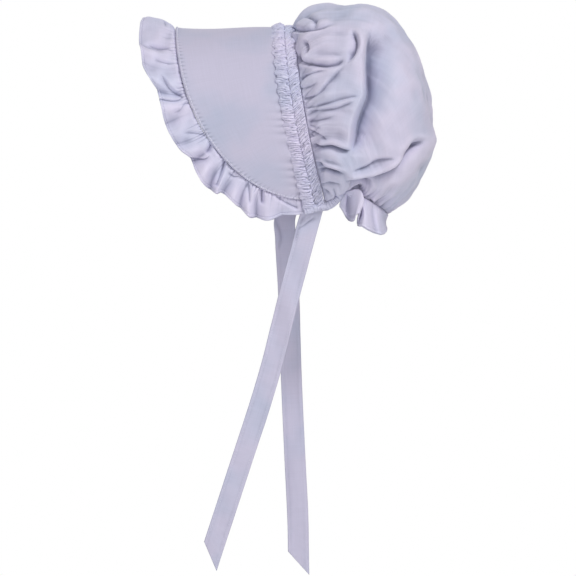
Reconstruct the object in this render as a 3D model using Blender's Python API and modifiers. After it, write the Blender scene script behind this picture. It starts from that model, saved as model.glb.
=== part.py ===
"""A child's cotton prairie bonnet with hanging ties, as sewn pieces of cloth with real wall thickness.

Metres, +Z up. The face looks along -X and the wearer's left side lies at -Y. The origin is the inside of
the band's top centre, on the stitch line between its two ruched columns, where the bonnet sits on a head.
"""

import math
from collections import namedtuple

import bmesh
import bpy
import numpy as np

# Cloth walls and seams
PANEL_WALL = 0.0020
CLOTH_WALL = 0.0012
CASING_WALL = 0.0020
SEAM_GAP = 0.0003

# The arch of the face opening, seen from the front; the run-on is in radians past its corners
HEAD_HALF_WIDTH = 0.072
CORNER_TUCK = 0.014
ARCH_SHOULDER = 0.085
ARCH_RUN_ON = 0.45
BAND_HEIGHT = 0.183
BAND_LEAN = 0.033

# The two ruched columns of the band
HEADING_WIDTH = 0.0109
CASING_WIDTH = 0.0105
HEADING_PUFF = 0.0042
CASING_PUFF = 0.0012
RIB_PITCH = 0.0095
RIB_HEIGHT = 0.0009
COLUMN_BOW = (0.25, 1.0, 0.25)

# The brim and its ruffle, whose waves stand out by a share and grow by a power from seam to hem
BRIM_REACH = 0.0980
BRIM_CORNER_RISE = 0.013
BRIM_FLARE = 0.0045
BRIM_KEPT_SHARE = 0.985
RUFFLE_DEPTH = 0.029
RUFFLE_WAVE = 0.0062
RUFFLE_STAND = 0.6
RUFFLE_GROWTH = 0.8

# The crown bag. The fullness is 2 for an oval side and more for a flatter one. The gathers fade out from the
# seams over shares of the reach. The folds set in at a share of the half width and are full a run further.
CROWN_REACH = 0.2010
CROWN_HALF_WIDTH = 0.094
CROWN_CORNER_RISE = 0.011
CORNER_RADIUS = 0.005
CROWN_FULLNESS = 2.6
GATHER_PITCH = 0.0205
GATHER_DEPTH = 0.0026
GATHER_WANDER = 1.3
GATHER_WANDER_TURNS = 5.0
BAND_GATHER_SHARE = 0.16
NAPE_GATHER_SHARE = 0.09
FOLD_DEPTH = 0.0075
FOLD_SIDE_START = 0.19
FOLD_SIDE_RUN = 0.62
SEAM_EASE = 0.006
CORNER_EASE = 0.045

# The nape
NAPE_RISE = 0.018
NAPE_GAP = 0.0009
NAPE_CASING_WIDTH = 0.0085
NAPE_FRILL_DEPTH = 0.0125
FRILL_PITCH = 0.0260
FRILL_WAVE = 0.0055
FRILL_STAND = 0.35
FRILL_TOP_SHARE = 0.3
NAPE_BOW = (0.2, 1.0, 0.3)

# The ties
TIE_WIDTH = 0.0210
TIE_LENGTH = 0.388
TIE_POINT = 0.0240
TIE_POINT_SHARE = 0.1

# Exponents of the brim's outline and of the band's backward lean
BRIM_ROUNDING = 1.9
LEAN_POWER = 1.6

# Depths below the top of the brim's and the crown's lower corners
BRIM_DEPTH = BAND_HEIGHT - BRIM_CORNER_RISE
CROWN_DEPTH = BAND_HEIGHT - CROWN_CORNER_RISE

# Angle about the crown's lower corner, in degrees above the horizontal, and four shares: of the crown's
# reach, of its half width, of the reach at which the section is widest, and of the rise near the nape
Section = namedtuple("Section", "angle reach half_width widest rise")
CROWN_SECTIONS = (
    Section(98.0, 0.917, 0.830, 0.51, 0.00),
    Section(95.5, 0.952, 0.880, 0.51, 0.00),
    Section(90.0, 0.982, 0.925, 0.51, 0.00),
    Section(83.5, 0.988, 0.955, 0.51, 0.00),
    Section(79.0, 1.008, 0.970, 0.51, 0.00),
    Section(73.5, 0.994, 0.990, 0.51, 0.00),
    Section(67.0, 0.952, 1.000, 0.51, 0.00),
    Section(60.0, 0.890, 1.000, 0.51, 0.00),
    Section(52.0, 0.806, 0.985, 0.50, 0.00),
    Section(44.0, 0.731, 0.960, 0.49, 0.00),
    Section(36.0, 0.660, 0.930, 0.48, 0.00),
    Section(28.5, 0.626, 0.900, 0.47, 0.00),
    Section(20.0, 0.546, 0.850, 0.46, 0.10),
    Section(10.0, 0.467, 0.790, 0.44, 0.30),
    Section(0.0, 0.383, 0.730, 0.42, 0.60),
    Section(-11.2, 0.302, 0.690, 0.40, 1.00),
)

# Folds of the crown's sides: three points of each crease as shares of the crown's reach, forward of and
# above its lower corner, then shares of the fold depth and of the reach for its width
Fold = namedtuple("Fold", "start_x start_z middle_x middle_z end_x end_z depth width")
CROWN_FOLDS = (
    Fold(-0.12, 1.00, -0.06, 0.96, -0.03, 0.86, 0.55, 0.030),
    Fold(-0.12, 0.72, -0.06, 0.69, 0.06, 0.69, 0.50, 0.028),
    Fold(0.15, 0.83, 0.18, 0.76, 0.11, 0.70, 0.80, 0.032),
    Fold(0.31, 0.85, 0.26, 0.58, 0.16, 0.26, 0.95, 0.080),
    Fold(-0.08, 0.29, 0.02, 0.25, 0.14, 0.25, 0.70, 0.028),
    Fold(-0.03, 0.16, 0.06, 0.15, 0.13, 0.11, 0.45, 0.028),
    Fold(0.13, 0.11, 0.36, 0.14, 0.51, 0.31, 1.00, 0.036),
    Fold(0.18, 0.05, 0.22, 0.08, 0.25, 0.05, 0.60, 0.030),
)

# Valleys of the brim ruffle from the top centre down to the band: share of the ruffle's seam, run of the
# fold towards the band at the outer edge as a share of the ruffle's depth, and share of the wave's height
Pleat = namedtuple("Pleat", "place run height")
RUFFLE_PLEATS = (
    Pleat(0.205, -0.55, 0.75),
    Pleat(0.285, -0.50, 0.50),
    Pleat(0.380, -0.35, 1.10),
    Pleat(0.455, 0.00, 0.70),
    Pleat(0.545, -0.20, 0.70),
    Pleat(0.605, 0.00, 1.00),
    Pleat(0.672, 0.35, 1.10),
    Pleat(0.735, 0.10, 0.70),
    Pleat(0.788, 0.25, 0.90),
    Pleat(0.842, 0.30, 1.10),
    Pleat(0.930, 0.10, 0.60),
)

# Outline of the ruffle's scalloped outer edge: share of its seam from the top centre, share of its depth
Scallop = namedtuple("Scallop", "place reach")
RUFFLE_OUTLINE = (
    Scallop(0.00, 0.98),
    Scallop(0.13, 1.20),
    Scallop(0.22, 1.22),
    Scallop(0.30, 1.12),
    Scallop(0.385, 0.84),
    Scallop(0.47, 1.00),
    Scallop(0.53, 0.98),
    Scallop(0.595, 0.84),
    Scallop(0.67, 1.00),
    Scallop(0.715, 0.90),
    Scallop(0.763, 0.80),
    Scallop(0.83, 0.94),
    Scallop(0.88, 0.84),
    Scallop(0.915, 0.68),
    Scallop(1.00, 0.44),
)

# The nape seam's rise as a share of the full rise, by share of the seam from the back centre
Rise = namedtuple("Rise", "place rise")
NAPE_RISES = (
    Rise(0.00, 0.00),
    Rise(0.30, 0.06),
    Rise(0.56, 0.40),
    Rise(0.70, 0.74),
    Rise(0.79, 1.00),
    Rise(0.86, 0.50),
    Rise(0.92, 0.00),
    Rise(1.00, 0.00),
)

# Depth of the nape frill as a share of its full depth, by share of the nape's seam from the back centre
Frill = namedtuple("Frill", "place depth")
FRILL_DEPTHS = (
    Frill(0.00, 0.95),
    Frill(0.35, 1.05),
    Frill(0.50, 1.40),
    Frill(0.70, 1.75),
    Frill(0.78, 1.75),
    Frill(0.84, 1.35),
    Frill(0.89, 0.50),
)

# The ties' centre lines by share of the length below the band's corner, with the forward run, the inward
# run and the depth as shares of the length
Station = namedtuple("Station", "forward inward down")
LEFT_TIE = (
    Station(0.005, 0.000, -0.039),
    Station(0.016, 0.000, 0.000),
    Station(0.035, 0.004, 0.070),
    Station(0.068, 0.010, 0.193),
    Station(0.123, 0.018, 0.410),
    Station(0.206, 0.018, 0.670),
    Station(0.266, 0.026, 0.853),
)
RIGHT_TIE = (
    Station(0.045, 0.000, -0.064),
    Station(0.083, 0.014, 0.006),
    Station(0.082, 0.020, 0.070),
    Station(0.075, 0.018, 0.193),
    Station(0.068, 0.020, 0.410),
    Station(0.060, 0.026, 0.595),
    Station(0.050, 0.024, 0.812),
    Station(0.049, 0.028, 0.874),
)

# Colours of the lavender cotton, dry and matt
LAVENDER = (0.560, 0.550, 0.690, 1.0)
LAVENDER_LIGHT = (0.640, 0.620, 0.760, 1.0)
LAVENDER_SHADE = (0.500, 0.510, 0.650, 1.0)
CLOTH_ROUGHNESS = 0.85

# Grid counts
ARCH_SAMPLES = 600
BRIM_COLUMNS, BRIM_ROWS = 36, 3
PLEAT_COLUMNS, RUFFLE_ROWS = 6, 3
FRILL_ROWS = 2
CROWN_COLUMNS = 56
CREASE_SAMPLES = 25
CREASE_END = 0.02
FEWEST_RIBS = 8
TIE_ROWS = 22


def ease(value):
    """Smooth step from 0 to 1."""
    value = np.clip(value, 0.0, 1.0)
    return value * value * (3.0 - 2.0 * value)


def lengths_along(*coordinates):
    """Running length of a polyline given by its coordinate arrays."""
    steps = np.sqrt(sum(np.diff(coordinate) ** 2 for coordinate in coordinates))
    return np.concatenate(([0.0], np.cumsum(steps)))


def by_share(shares, table, column):
    """A column of a table looked up at unsigned shares of a seam."""
    return np.interp(np.abs(shares), [row.place for row in table], [getattr(row, column) for row in table])


def signed_shares(columns):
    """Shares across a piece, from the wearer's right corner (+1) over the top to the left corner (-1)."""
    return np.linspace(1.0, -1.0, columns + 1)


def arch_half():
    """Half of the face arch from its top, run on a little past the corner: length, half width, depth."""
    corner_turn = math.pi - math.asin(1.0 - CORNER_TUCK / HEAD_HALF_WIDTH)
    lower = (BAND_HEIGHT - ARCH_SHOULDER) / -math.cos(corner_turn)
    turn = np.linspace(0.0, corner_turn + ARCH_RUN_ON, ARCH_SAMPLES)
    half_width = HEAD_HALF_WIDTH * np.sin(turn)
    drop = np.where(turn < math.pi / 2, ARCH_SHOULDER, lower)
    depth = ARCH_SHOULDER - drop * np.cos(turn)
    return lengths_along(half_width, depth), half_width, depth


ARCH_LENGTH, ARCH_HALF_WIDTH, ARCH_DEPTH = arch_half()


def arch_at(length):
    """y and z of the arch's inside at signed lengths from its top."""
    y = np.sign(length) * np.interp(np.abs(length), ARCH_LENGTH, ARCH_HALF_WIDTH)
    return y, -np.interp(np.abs(length), ARCH_LENGTH, ARCH_DEPTH)


def length_at_depth(depth):
    return np.interp(depth, ARCH_DEPTH, ARCH_LENGTH)


def band_x(offset, z):
    """The line across the band that starts at x = offset at the top and leans back towards the corners."""
    return offset + BAND_LEAN * np.clip(-z / BAND_HEIGHT, 0.0, None) ** LEAN_POWER


def face_point(x, length):
    """A point of the brim's surface, which runs straight forward from the arch and flares a little."""
    y, z = arch_at(length)
    forward = np.clip(band_x(-HEADING_WIDTH, z) - x, 0.0, None)
    flare = BRIM_FLARE * forward / BRIM_REACH
    return np.stack((x, y * (1.0 + flare / HEAD_HALF_WIDTH), z), axis=-1)


def brim_edge(shares):
    """x and arch length of the brim's front edge, evenly spaced along it, by signed share."""
    corner_x = band_x(-HEADING_WIDTH, np.array(-BRIM_DEPTH))
    side_reach = corner_x + HEADING_WIDTH + BRIM_REACH
    turn = np.linspace(0.0, math.pi / 2, ARCH_SAMPLES)
    x = corner_x - side_reach * np.cos(turn) ** (2.0 / BRIM_ROUNDING)
    length = length_at_depth(BRIM_DEPTH * np.sin(turn) ** (2.0 / BRIM_ROUNDING))
    run = lengths_along(x, length)
    wanted = np.abs(shares) * run[-1]
    return np.interp(wanted, run, x), np.sign(shares) * np.interp(wanted, run, length), run[-1]


def surface_normals(points):
    """Unit normals of a grid of points, outward for rows that run from the face to the back."""
    across = np.gradient(points, axis=1)
    back = np.gradient(points, axis=0)
    normal = np.cross(across, back)
    return normal / np.linalg.norm(normal, axis=-1, keepdims=True)


def lifted(points, height):
    """The grid moved outward by a height, which is one number or one for each point."""
    return points + surface_normals(points) * np.broadcast_to(height, points.shape[:2])[..., None]


def brim_points():
    """The stiff panel, ruled between its front edge and the band's front line."""
    shares = BRIM_KEPT_SHARE * signed_shares(BRIM_COLUMNS)
    edge_x, edge_length, _ = brim_edge(shares)
    seam_length = shares * length_at_depth(BRIM_DEPTH)
    seam_x = band_x(-HEADING_WIDTH, arch_at(seam_length)[1]) - SEAM_GAP
    rows = []
    for row in np.linspace(0.0, 1.0, BRIM_ROWS + 1):
        x = edge_x + (seam_x - edge_x) * row
        length = edge_length + (seam_length - edge_length) * row
        rows.append(face_point(x, length))
    return lifted(np.array(rows), PANEL_WALL)


def ruffle_columns():
    """Signed shares of the ruffle's columns, and their phase, which is a whole number in each valley."""
    places = [0.0] + [pleat.place for pleat in RUFFLE_PLEATS] + [1.0]
    phases = [-0.5] + list(range(len(RUFFLE_PLEATS))) + [len(RUFFLE_PLEATS) - 0.5]
    side_phase = np.linspace(phases[0], phases[-1], PLEAT_COLUMNS * len(RUFFLE_PLEATS) + 1)
    side_share = np.interp(side_phase, phases, places)
    shares = np.concatenate((side_share[::-1], -side_share[1:]))
    return shares, np.concatenate((side_phase[::-1], side_phase[1:]))


def ruffle_points():
    """The brim's ruffle, flat at its seam and rising in pleats towards its scalloped outer edge."""
    shares, phase = ruffle_columns()
    edge_x, edge_length, _ = brim_edge(shares)
    along_x, along_length = np.gradient(edge_x), np.gradient(edge_length)
    size = np.hypot(along_x, along_length)
    along_x, along_length = along_x / size, along_length / size
    out_x, out_length = along_length, -along_x
    reach = RUFFLE_DEPTH * by_share(shares, RUFFLE_OUTLINE, "reach")
    run = -np.sign(shares) * RUFFLE_DEPTH * by_share(shares, RUFFLE_PLEATS, "run")
    rows = []
    for row in np.linspace(1.0, 0.0, RUFFLE_ROWS + 1):
        outward = reach * row + SEAM_GAP
        sideways = run * row * row
        x = edge_x + out_x * outward + along_x * sideways
        length = edge_length + out_length * outward + along_length * sideways
        rows.append(face_point(x, length))
    height = by_share(shares, RUFFLE_PLEATS, "height") * np.minimum(1.0, reach / RUFFLE_DEPTH)
    wave = RUFFLE_WAVE * height * (RUFFLE_STAND - np.cos(2.0 * math.pi * phase))
    growth = np.linspace(1.0, 0.0, RUFFLE_ROWS + 1)[:, None] ** RUFFLE_GROWTH
    return lifted(np.array(rows), CLOTH_WALL + wave * growth)


def band_points(front, back, puff, rib_height):
    """One ruched column of the band between two lines, bowed outward, with ribs across it."""
    total = 2.0 * length_at_depth(BAND_HEIGHT)
    ribs = max(FEWEST_RIBS, round(total / RIB_PITCH))
    lengths = signed_shares(2 * ribs) * total / 2.0
    y, z = arch_at(lengths)
    zigzag = np.where(np.arange(2 * ribs + 1) % 2 == 0, 0.0, 1.0)
    base = []
    for row in (0.0, 0.5, 1.0):
        x = band_x(front + (back - front) * row, z)
        base.append(np.stack((x, y, z), axis=-1))
    base = np.array(base)
    bow = np.array(COLUMN_BOW)[:, None]
    return lifted(base, CASING_WALL + bow * (puff + rib_height * zigzag))


def section_rows(section, shares):
    """One fan section of the crown, in its own plane: distance from the corner axis, and y."""
    reach = section.reach * CROWN_REACH
    half_width = max(section.half_width * CROWN_HALF_WIDTH, CORNER_Y + SEAM_GAP)
    widest = section.widest * reach
    end_turn = math.pi - math.asin(CORNER_Y / half_width)
    lower = (widest - CORNER_RADIUS) / -math.cos(end_turn)
    turn = np.linspace(0.0, end_turn, ARCH_SAMPLES)
    power = np.where(turn < math.pi / 2, 2.0 / CROWN_FULLNESS, 1.0)
    ahead = np.sign(np.cos(turn)) * np.abs(np.cos(turn)) ** power
    distance = widest + np.where(turn < math.pi / 2, reach - widest, lower) * ahead
    y = half_width * np.sin(turn) ** power
    run = lengths_along(distance, y)
    wanted = np.abs(shares) * run[-1]
    return np.interp(wanted, run, distance), np.sign(shares) * np.interp(wanted, run, y)


CORNER_Y = float(np.interp(CROWN_DEPTH - CORNER_RADIUS, ARCH_DEPTH, ARCH_HALF_WIDTH))
CORNER_X = float(band_x(CASING_WIDTH + SEAM_GAP, np.array(CORNER_RADIUS - CROWN_DEPTH)))


def crown_base(shares):
    """The crown's sections from the band's back line round to the nape, before its folds."""
    seam_length = shares * length_at_depth(CROWN_DEPTH - CORNER_RADIUS)
    y, z = arch_at(seam_length)
    rows = [np.stack((band_x(CASING_WIDTH + SEAM_GAP, z), y, z + CLOTH_WALL), axis=-1)]
    for section in CROWN_SECTIONS:
        distance, y = section_rows(section, shares)
        angle = math.radians(section.angle)
        x = CORNER_X + distance * math.cos(angle)
        rise = NAPE_RISE * section.rise * by_share(shares, NAPE_RISES, "rise")
        z = distance * math.sin(angle) - CROWN_DEPTH + rise
        rows.append(np.stack((x, y, z), axis=-1))
    return np.array(rows)


def crease(fold, x, z):
    """Depth share of one fold at side-view positions, strongest on its line and gone at its two ends."""
    along = np.linspace(0.0, 1.0, CREASE_SAMPLES)
    line_x = (1 - along) ** 2 * fold.start_x + 2 * along * (1 - along) * fold.middle_x + along**2 * fold.end_x
    line_z = (1 - along) ** 2 * fold.start_z + 2 * along * (1 - along) * fold.middle_z + along**2 * fold.end_z
    strength = np.sqrt(np.sin(math.pi * np.clip(along, CREASE_END, 1.0 - CREASE_END)))
    away = (x[..., None] - line_x) ** 2 + (z[..., None] - line_z) ** 2
    return fold.depth * np.max(strength * np.exp(-away / fold.width**2), axis=-1)


def crown_points():
    """The puffed bag: its sections, gathered at the band and nape, with the folds of its sides."""
    shares = signed_shares(CROWN_COLUMNS)
    base = crown_base(shares)
    from_band = np.array([np.linalg.norm(row - base[0], axis=-1) for row in base])
    from_nape = np.array([np.linalg.norm(row - base[-1], axis=-1) for row in base])
    gathers = 2.0 * length_at_depth(CROWN_DEPTH) / GATHER_PITCH
    wave = np.cos(math.pi * gathers * shares + GATHER_WANDER * np.sin(GATHER_WANDER_TURNS * shares))
    band_ease = ease(from_band / SEAM_EASE)
    nape_ease = ease(from_nape / SEAM_EASE)
    near_band = band_ease * np.exp(-from_band / (CROWN_REACH * BAND_GATHER_SHARE))
    near_nape = nape_ease * np.exp(-from_nape / (CROWN_REACH * NAPE_GATHER_SHARE))
    relief = GATHER_DEPTH * wave * (near_band + near_nape)
    x = (base[..., 0] - CORNER_X) / CROWN_REACH
    z = (base[..., 2] + CROWN_DEPTH) / CROWN_REACH
    side = ease((np.abs(base[..., 1]) / CROWN_HALF_WIDTH - FOLD_SIDE_START) / FOLD_SIDE_RUN)
    for fold in CROWN_FOLDS:
        relief = relief - FOLD_DEPTH * side * crease(fold, x, z)
    corner = np.hypot(base[..., 0] - CORNER_X, base[..., 2] + CROWN_DEPTH)
    return lifted(base, relief * ease(corner / CORNER_EASE) * band_ease * nape_ease)


def nape_line():
    """The crown's lower edge with a rib on each of its columns, from the right corner round to the left."""
    edge = crown_base(signed_shares(CROWN_COLUMNS))[-1]
    steps = np.arange(2 * CROWN_COLUMNS + 1) / 2.0
    line = np.stack([np.interp(steps, np.arange(CROWN_COLUMNS + 1), values) for values in edge.T], axis=-1)
    return signed_shares(2 * CROWN_COLUMNS), line


def nape_outward(line):
    """Level outward directions along the nape line."""
    along = np.gradient(line, axis=0)
    outward = np.stack((-along[:, 1], along[:, 0], np.zeros(len(line))), axis=-1)
    return outward / np.linalg.norm(outward, axis=-1, keepdims=True)


def nape_casing_points():
    """The elastic casing that hangs from the crown's lower edge, with ribs across it."""
    shares, line = nape_line()
    outward = nape_outward(line)
    zigzag = np.where(np.arange(len(shares)) % 2 == 0, 0.0, 1.0)
    rows = []
    for row, bow in zip((0.0, 0.5, 1.0), NAPE_BOW):
        down = np.array((0.0, 0.0, -NAPE_GAP - NAPE_CASING_WIDTH * row))
        lift = bow * (CASING_PUFF + RIB_HEIGHT * zigzag)
        rows.append(line + down + outward * lift[:, None])
    return np.array(rows)


def nape_frill_points():
    """The frill below the nape casing, which fades out before it reaches the band."""
    shares, line = nape_line()
    kept = np.abs(shares) <= FRILL_DEPTHS[-1].place
    line = line[kept]
    outward = nape_outward(line)
    shares = shares[kept]
    depth = by_share(shares, FRILL_DEPTHS, "depth")
    wave = np.sin(2.0 * math.pi * lengths_along(*line.T) / FRILL_PITCH)
    top = -NAPE_GAP - SEAM_GAP - NAPE_CASING_WIDTH
    rows = []
    for row in np.linspace(0.0, 1.0, FRILL_ROWS + 1):
        down = np.zeros_like(line)
        down[:, 2] = top - NAPE_FRILL_DEPTH * depth * row
        lift = FRILL_TOP_SHARE * CASING_PUFF
        lift = lift + FRILL_WAVE * depth * row * (FRILL_STAND + wave)
        rows.append(line + down + outward * lift[:, None])
    return np.array(rows)


def tie_points(stations, side):
    """A ribbon from inside the band's corner down to a slanted end, its face turned to the side."""
    corner_x = float(band_x(0.0, np.array(-BAND_HEIGHT)))
    table = np.array(stations) * TIE_LENGTH
    run = lengths_along(table[:, 0], table[:, 2])
    wanted = np.linspace(0.0, run[-1], TIE_ROWS + 1)
    forward, inward, down = (smooth_line(wanted, run, table[:, column]) for column in range(3))
    x = corner_x - forward
    z = -BAND_HEIGHT - down
    rows_x, rows_z = np.gradient(x), np.gradient(z)
    size = np.hypot(rows_x, rows_z)
    columns = []
    for across in (0.5, 0.0, -0.5):
        shift = across * TIE_WIDTH
        slant = ease((wanted / run[-1] - 1.0 + TIE_POINT_SHARE) / TIE_POINT_SHARE)
        point = TIE_POINT * (0.5 - across) * slant
        column_x = x + shift * rows_z / size + point * rows_x / size
        column_z = z - shift * rows_x / size + point * rows_z / size
        arch_y = arch_at(length_at_depth(np.minimum(-column_z, BAND_HEIGHT)))[0]
        column_y = side * (arch_y - SEAM_GAP - inward)
        columns.append(np.stack((column_x, column_y, column_z), axis=-1))
    order = columns[::-1] if side < 0 else columns
    return np.array(order).transpose(1, 0, 2)


def smooth_line(wanted, run, values):
    """A smooth curve through the stations' values, by cubic pieces with slopes from their neighbours."""
    slopes = np.gradient(values, run)
    index = np.clip(np.searchsorted(run, wanted, side="right") - 1, 0, len(run) - 2)
    span = run[index + 1] - run[index]
    part = (wanted - run[index]) / span
    start = (2 * part**3 - 3 * part**2 + 1) * values[index]
    start = start + (part**3 - 2 * part**2 + part) * span * slopes[index]
    end = (3 * part**2 - 2 * part**3) * values[index + 1]
    return start + end + (part**3 - part**2) * span * slopes[index + 1]


def cloth_material(name, colour):
    material = bpy.data.materials.new(name)
    material.use_nodes = True
    shader = material.node_tree.nodes["Principled BSDF"]
    shader.inputs["Base Color"].default_value = colour
    shader.inputs["Roughness"].default_value = CLOTH_ROUGHNESS
    shader.inputs["Metallic"].default_value = 0.0
    material.diffuse_color = colour
    return material


def cloth(collection, name, points, wall, colour):
    """A grid laid through the points of the outer face, then thickened inward to the wall."""
    rows, columns = points.shape[:2]
    mesh = bpy.data.meshes.new(name)
    grid = bmesh.new()
    bmesh.ops.create_grid(grid, x_segments=columns - 1, y_segments=rows - 1, size=1.0)
    for vertex, place in zip(grid.verts, points.reshape(-1, 3)):
        vertex.co = place
    grid.to_mesh(mesh)
    grid.free()
    mesh.shade_smooth()
    obj = bpy.data.objects.new(name, mesh)
    obj.data.materials.append(cloth_material(name, colour))
    collection.objects.link(obj)
    solidify = obj.modifiers.new("Wall", "SOLIDIFY")
    solidify.thickness = wall
    solidify.offset = -1.0
    return obj


def main():
    for obj in list(bpy.data.objects):
        bpy.data.objects.remove(obj, do_unlink=True)
    bonnet = bpy.data.collections.new("bonnet")
    bpy.context.scene.collection.children.link(bonnet)
    cloth(bonnet, "brim", brim_points(), PANEL_WALL, LAVENDER)
    cloth(bonnet, "brim_ruffle", ruffle_points(), CLOTH_WALL, LAVENDER_LIGHT)
    heading = band_points(-HEADING_WIDTH, -SEAM_GAP, HEADING_PUFF, RIB_HEIGHT)
    cloth(bonnet, "band_front", heading, CASING_WALL, LAVENDER_SHADE)
    casing = band_points(0.0, CASING_WIDTH, CASING_PUFF, RIB_HEIGHT)
    cloth(bonnet, "band_back", casing, CASING_WALL, LAVENDER_SHADE)
    cloth(bonnet, "crown", crown_points(), CLOTH_WALL, LAVENDER)
    cloth(bonnet, "nape_casing", nape_casing_points(), CASING_WALL, LAVENDER_SHADE)
    cloth(bonnet, "nape_ruffle", nape_frill_points(), CLOTH_WALL, LAVENDER_LIGHT)
    cloth(bonnet, "tie_left", tie_points(LEFT_TIE, -1.0), CLOTH_WALL, LAVENDER)
    cloth(bonnet, "tie_right", tie_points(RIGHT_TIE, 1.0), CLOTH_WALL, LAVENDER)


main()
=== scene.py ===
import math

import bpy
import numpy as np
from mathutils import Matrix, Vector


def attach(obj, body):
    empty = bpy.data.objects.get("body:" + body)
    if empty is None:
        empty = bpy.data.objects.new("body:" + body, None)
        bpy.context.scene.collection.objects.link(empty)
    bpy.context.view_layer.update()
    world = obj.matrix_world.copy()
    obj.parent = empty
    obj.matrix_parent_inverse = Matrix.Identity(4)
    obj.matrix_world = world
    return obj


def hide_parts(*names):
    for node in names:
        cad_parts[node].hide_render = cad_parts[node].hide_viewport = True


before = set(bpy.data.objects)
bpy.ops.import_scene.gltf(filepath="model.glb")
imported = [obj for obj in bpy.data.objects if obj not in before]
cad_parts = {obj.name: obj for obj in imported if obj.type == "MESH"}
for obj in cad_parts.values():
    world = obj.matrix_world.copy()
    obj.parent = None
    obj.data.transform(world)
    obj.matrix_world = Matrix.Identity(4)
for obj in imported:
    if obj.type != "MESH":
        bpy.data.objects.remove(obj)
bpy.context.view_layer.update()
print("frame loaded:", ", ".join(sorted(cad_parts)))

# Shared shapes. Metres, the face looks along -X, the wearer's left side lies at -Y and faces the camera.

faceArch = {
    "halfWidth": 0.072,  # inside of the band, half across
    "shoulder": 0.085,  # from the top down to the widest line
    "height": 0.183,  # from the top down to the corners
    "tuck": 0.014,  # how far the corners come in again
    "lean": 0.033,  # how far the corners lie behind the top
    "leanPower": 1.6,
    "headingWidth": 0.0109,
    "casingWidth": 0.0105,
    "gap": 0.0003,  # between two pieces at a seam
    "pastCorners": 0.45,  # how far its line is known below the corners, radians
    "steps": 900,  # along a curve that is measured
}


def smoothStep(value):
    value = np.clip(value, 0.0, 1.0)
    return value * value * (3.0 - 2.0 * value)


def runLengths(*coordinates):
    steps = np.sqrt(sum(np.diff(coordinate) ** 2 for coordinate in coordinates))
    return np.concatenate(([0.0], np.cumsum(steps)))


def smoothAlong(wanted, run, values):
    # cubic through the values, with slopes from the neighbours
    slopes = np.gradient(values, run, axis=0)
    index = np.clip(np.searchsorted(run, wanted, side="right") - 1, 0, len(run) - 2)
    shape = (-1,) + (1,) * (values.ndim - 1)
    span = (run[index + 1] - run[index]).reshape(shape)
    part = ((wanted - run[index]) / (run[index + 1] - run[index])).reshape(shape)
    leaving = (2 * part**3 - 3 * part**2 + 1) * values[index]
    leaving = leaving + (part**3 - 2 * part**2 + part) * span * slopes[index]
    arriving = (3 * part**2 - 2 * part**3) * values[index + 1]
    arriving = arriving + (part**3 - part**2) * span * slopes[index + 1]
    return leaving + arriving


def ripples(points, wavelength, seed, waves=16):
    # soft irregular swell about zero, from seeded waves in all directions
    chance = np.random.default_rng(seed)
    total = np.zeros(points.shape[:-1])
    for _ in range(waves):
        direction = chance.normal(size=points.shape[-1])
        length = wavelength * chance.uniform(0.75, 1.5)
        direction *= 2.0 * math.pi / (length * np.linalg.norm(direction))
        total += np.sin(points @ direction + chance.uniform(0.0, 2.0 * math.pi))
    return total * math.sqrt(2.0 / waves)


def swell(places, settings):
    height, size, seed = settings
    return height * ripples(places, size, seed)


def hump(distance, middle, width):
    return np.exp(-(((distance - middle) / width) ** 2))


def gathered(run, pitch, wander, sharpness):
    # rounded gathers from 0 to 1 with narrow creases between them
    return np.abs(np.sin(math.pi * (run / pitch + wander))) ** sharpness


def unevenReach(run, settings):
    return np.clip(1.0 + swell(run[:, None], settings), 0.4, 2.0)


def hemStep(fromHem, hem, height, ease):
    # the second layer of cloth within a hem's width of the edge
    return height * smoothStep((hem - fromHem) / ease + 0.5)


def unitAlong(x, z):
    alongX, alongZ = np.gradient(x), np.gradient(z)
    size = np.hypot(alongX, alongZ)
    return alongX / size, alongZ / size


def archLine():
    turnAtCorner = math.pi - math.asin(1.0 - faceArch["tuck"] / faceArch["halfWidth"])
    lower = (faceArch["height"] - faceArch["shoulder"]) / -math.cos(turnAtCorner)
    turn = np.linspace(0.0, turnAtCorner + faceArch["pastCorners"], faceArch["steps"])
    halfWidth = faceArch["halfWidth"] * np.sin(turn)
    drop = np.where(turn < math.pi / 2, faceArch["shoulder"], lower)
    depth = faceArch["shoulder"] - drop * np.cos(turn)
    return runLengths(halfWidth, depth), halfWidth, depth


archLength, archHalfWidth, archDepth = archLine()


def archAt(length):
    # y and z of the arch's inside at a signed length from its top
    y = np.sign(length) * np.interp(np.abs(length), archLength, archHalfWidth)
    return y, -np.interp(np.abs(length), archLength, archDepth)


def lengthAtDepth(depth):
    return np.interp(depth, archDepth, archLength)


def bandX(offset, z):
    # a line across the band, leaning back towards the corners
    return offset + faceArch["lean"] * np.clip(-z / faceArch["height"], 0.0, None) ** faceArch["leanPower"]


def gridNormals(points):
    normal = np.cross(np.gradient(points, axis=1), np.gradient(points, axis=0))
    return normal / np.maximum(np.linalg.norm(normal, axis=-1, keepdims=True), 1e-12)


def lifted(points, height):
    return points + gridNormals(points) * np.broadcast_to(height, points.shape[:2])[..., None]


def unevenShares(far, near, power=1.0):
    # from the right corner (+1) over the top to the left corner (-1)
    farShares = np.linspace(1.0, 0.0, far + 1) ** power
    nearShares = -(np.linspace(0.0, 1.0, near + 1)[1:] ** power)
    return np.concatenate((farShares, nearShares))


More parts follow.
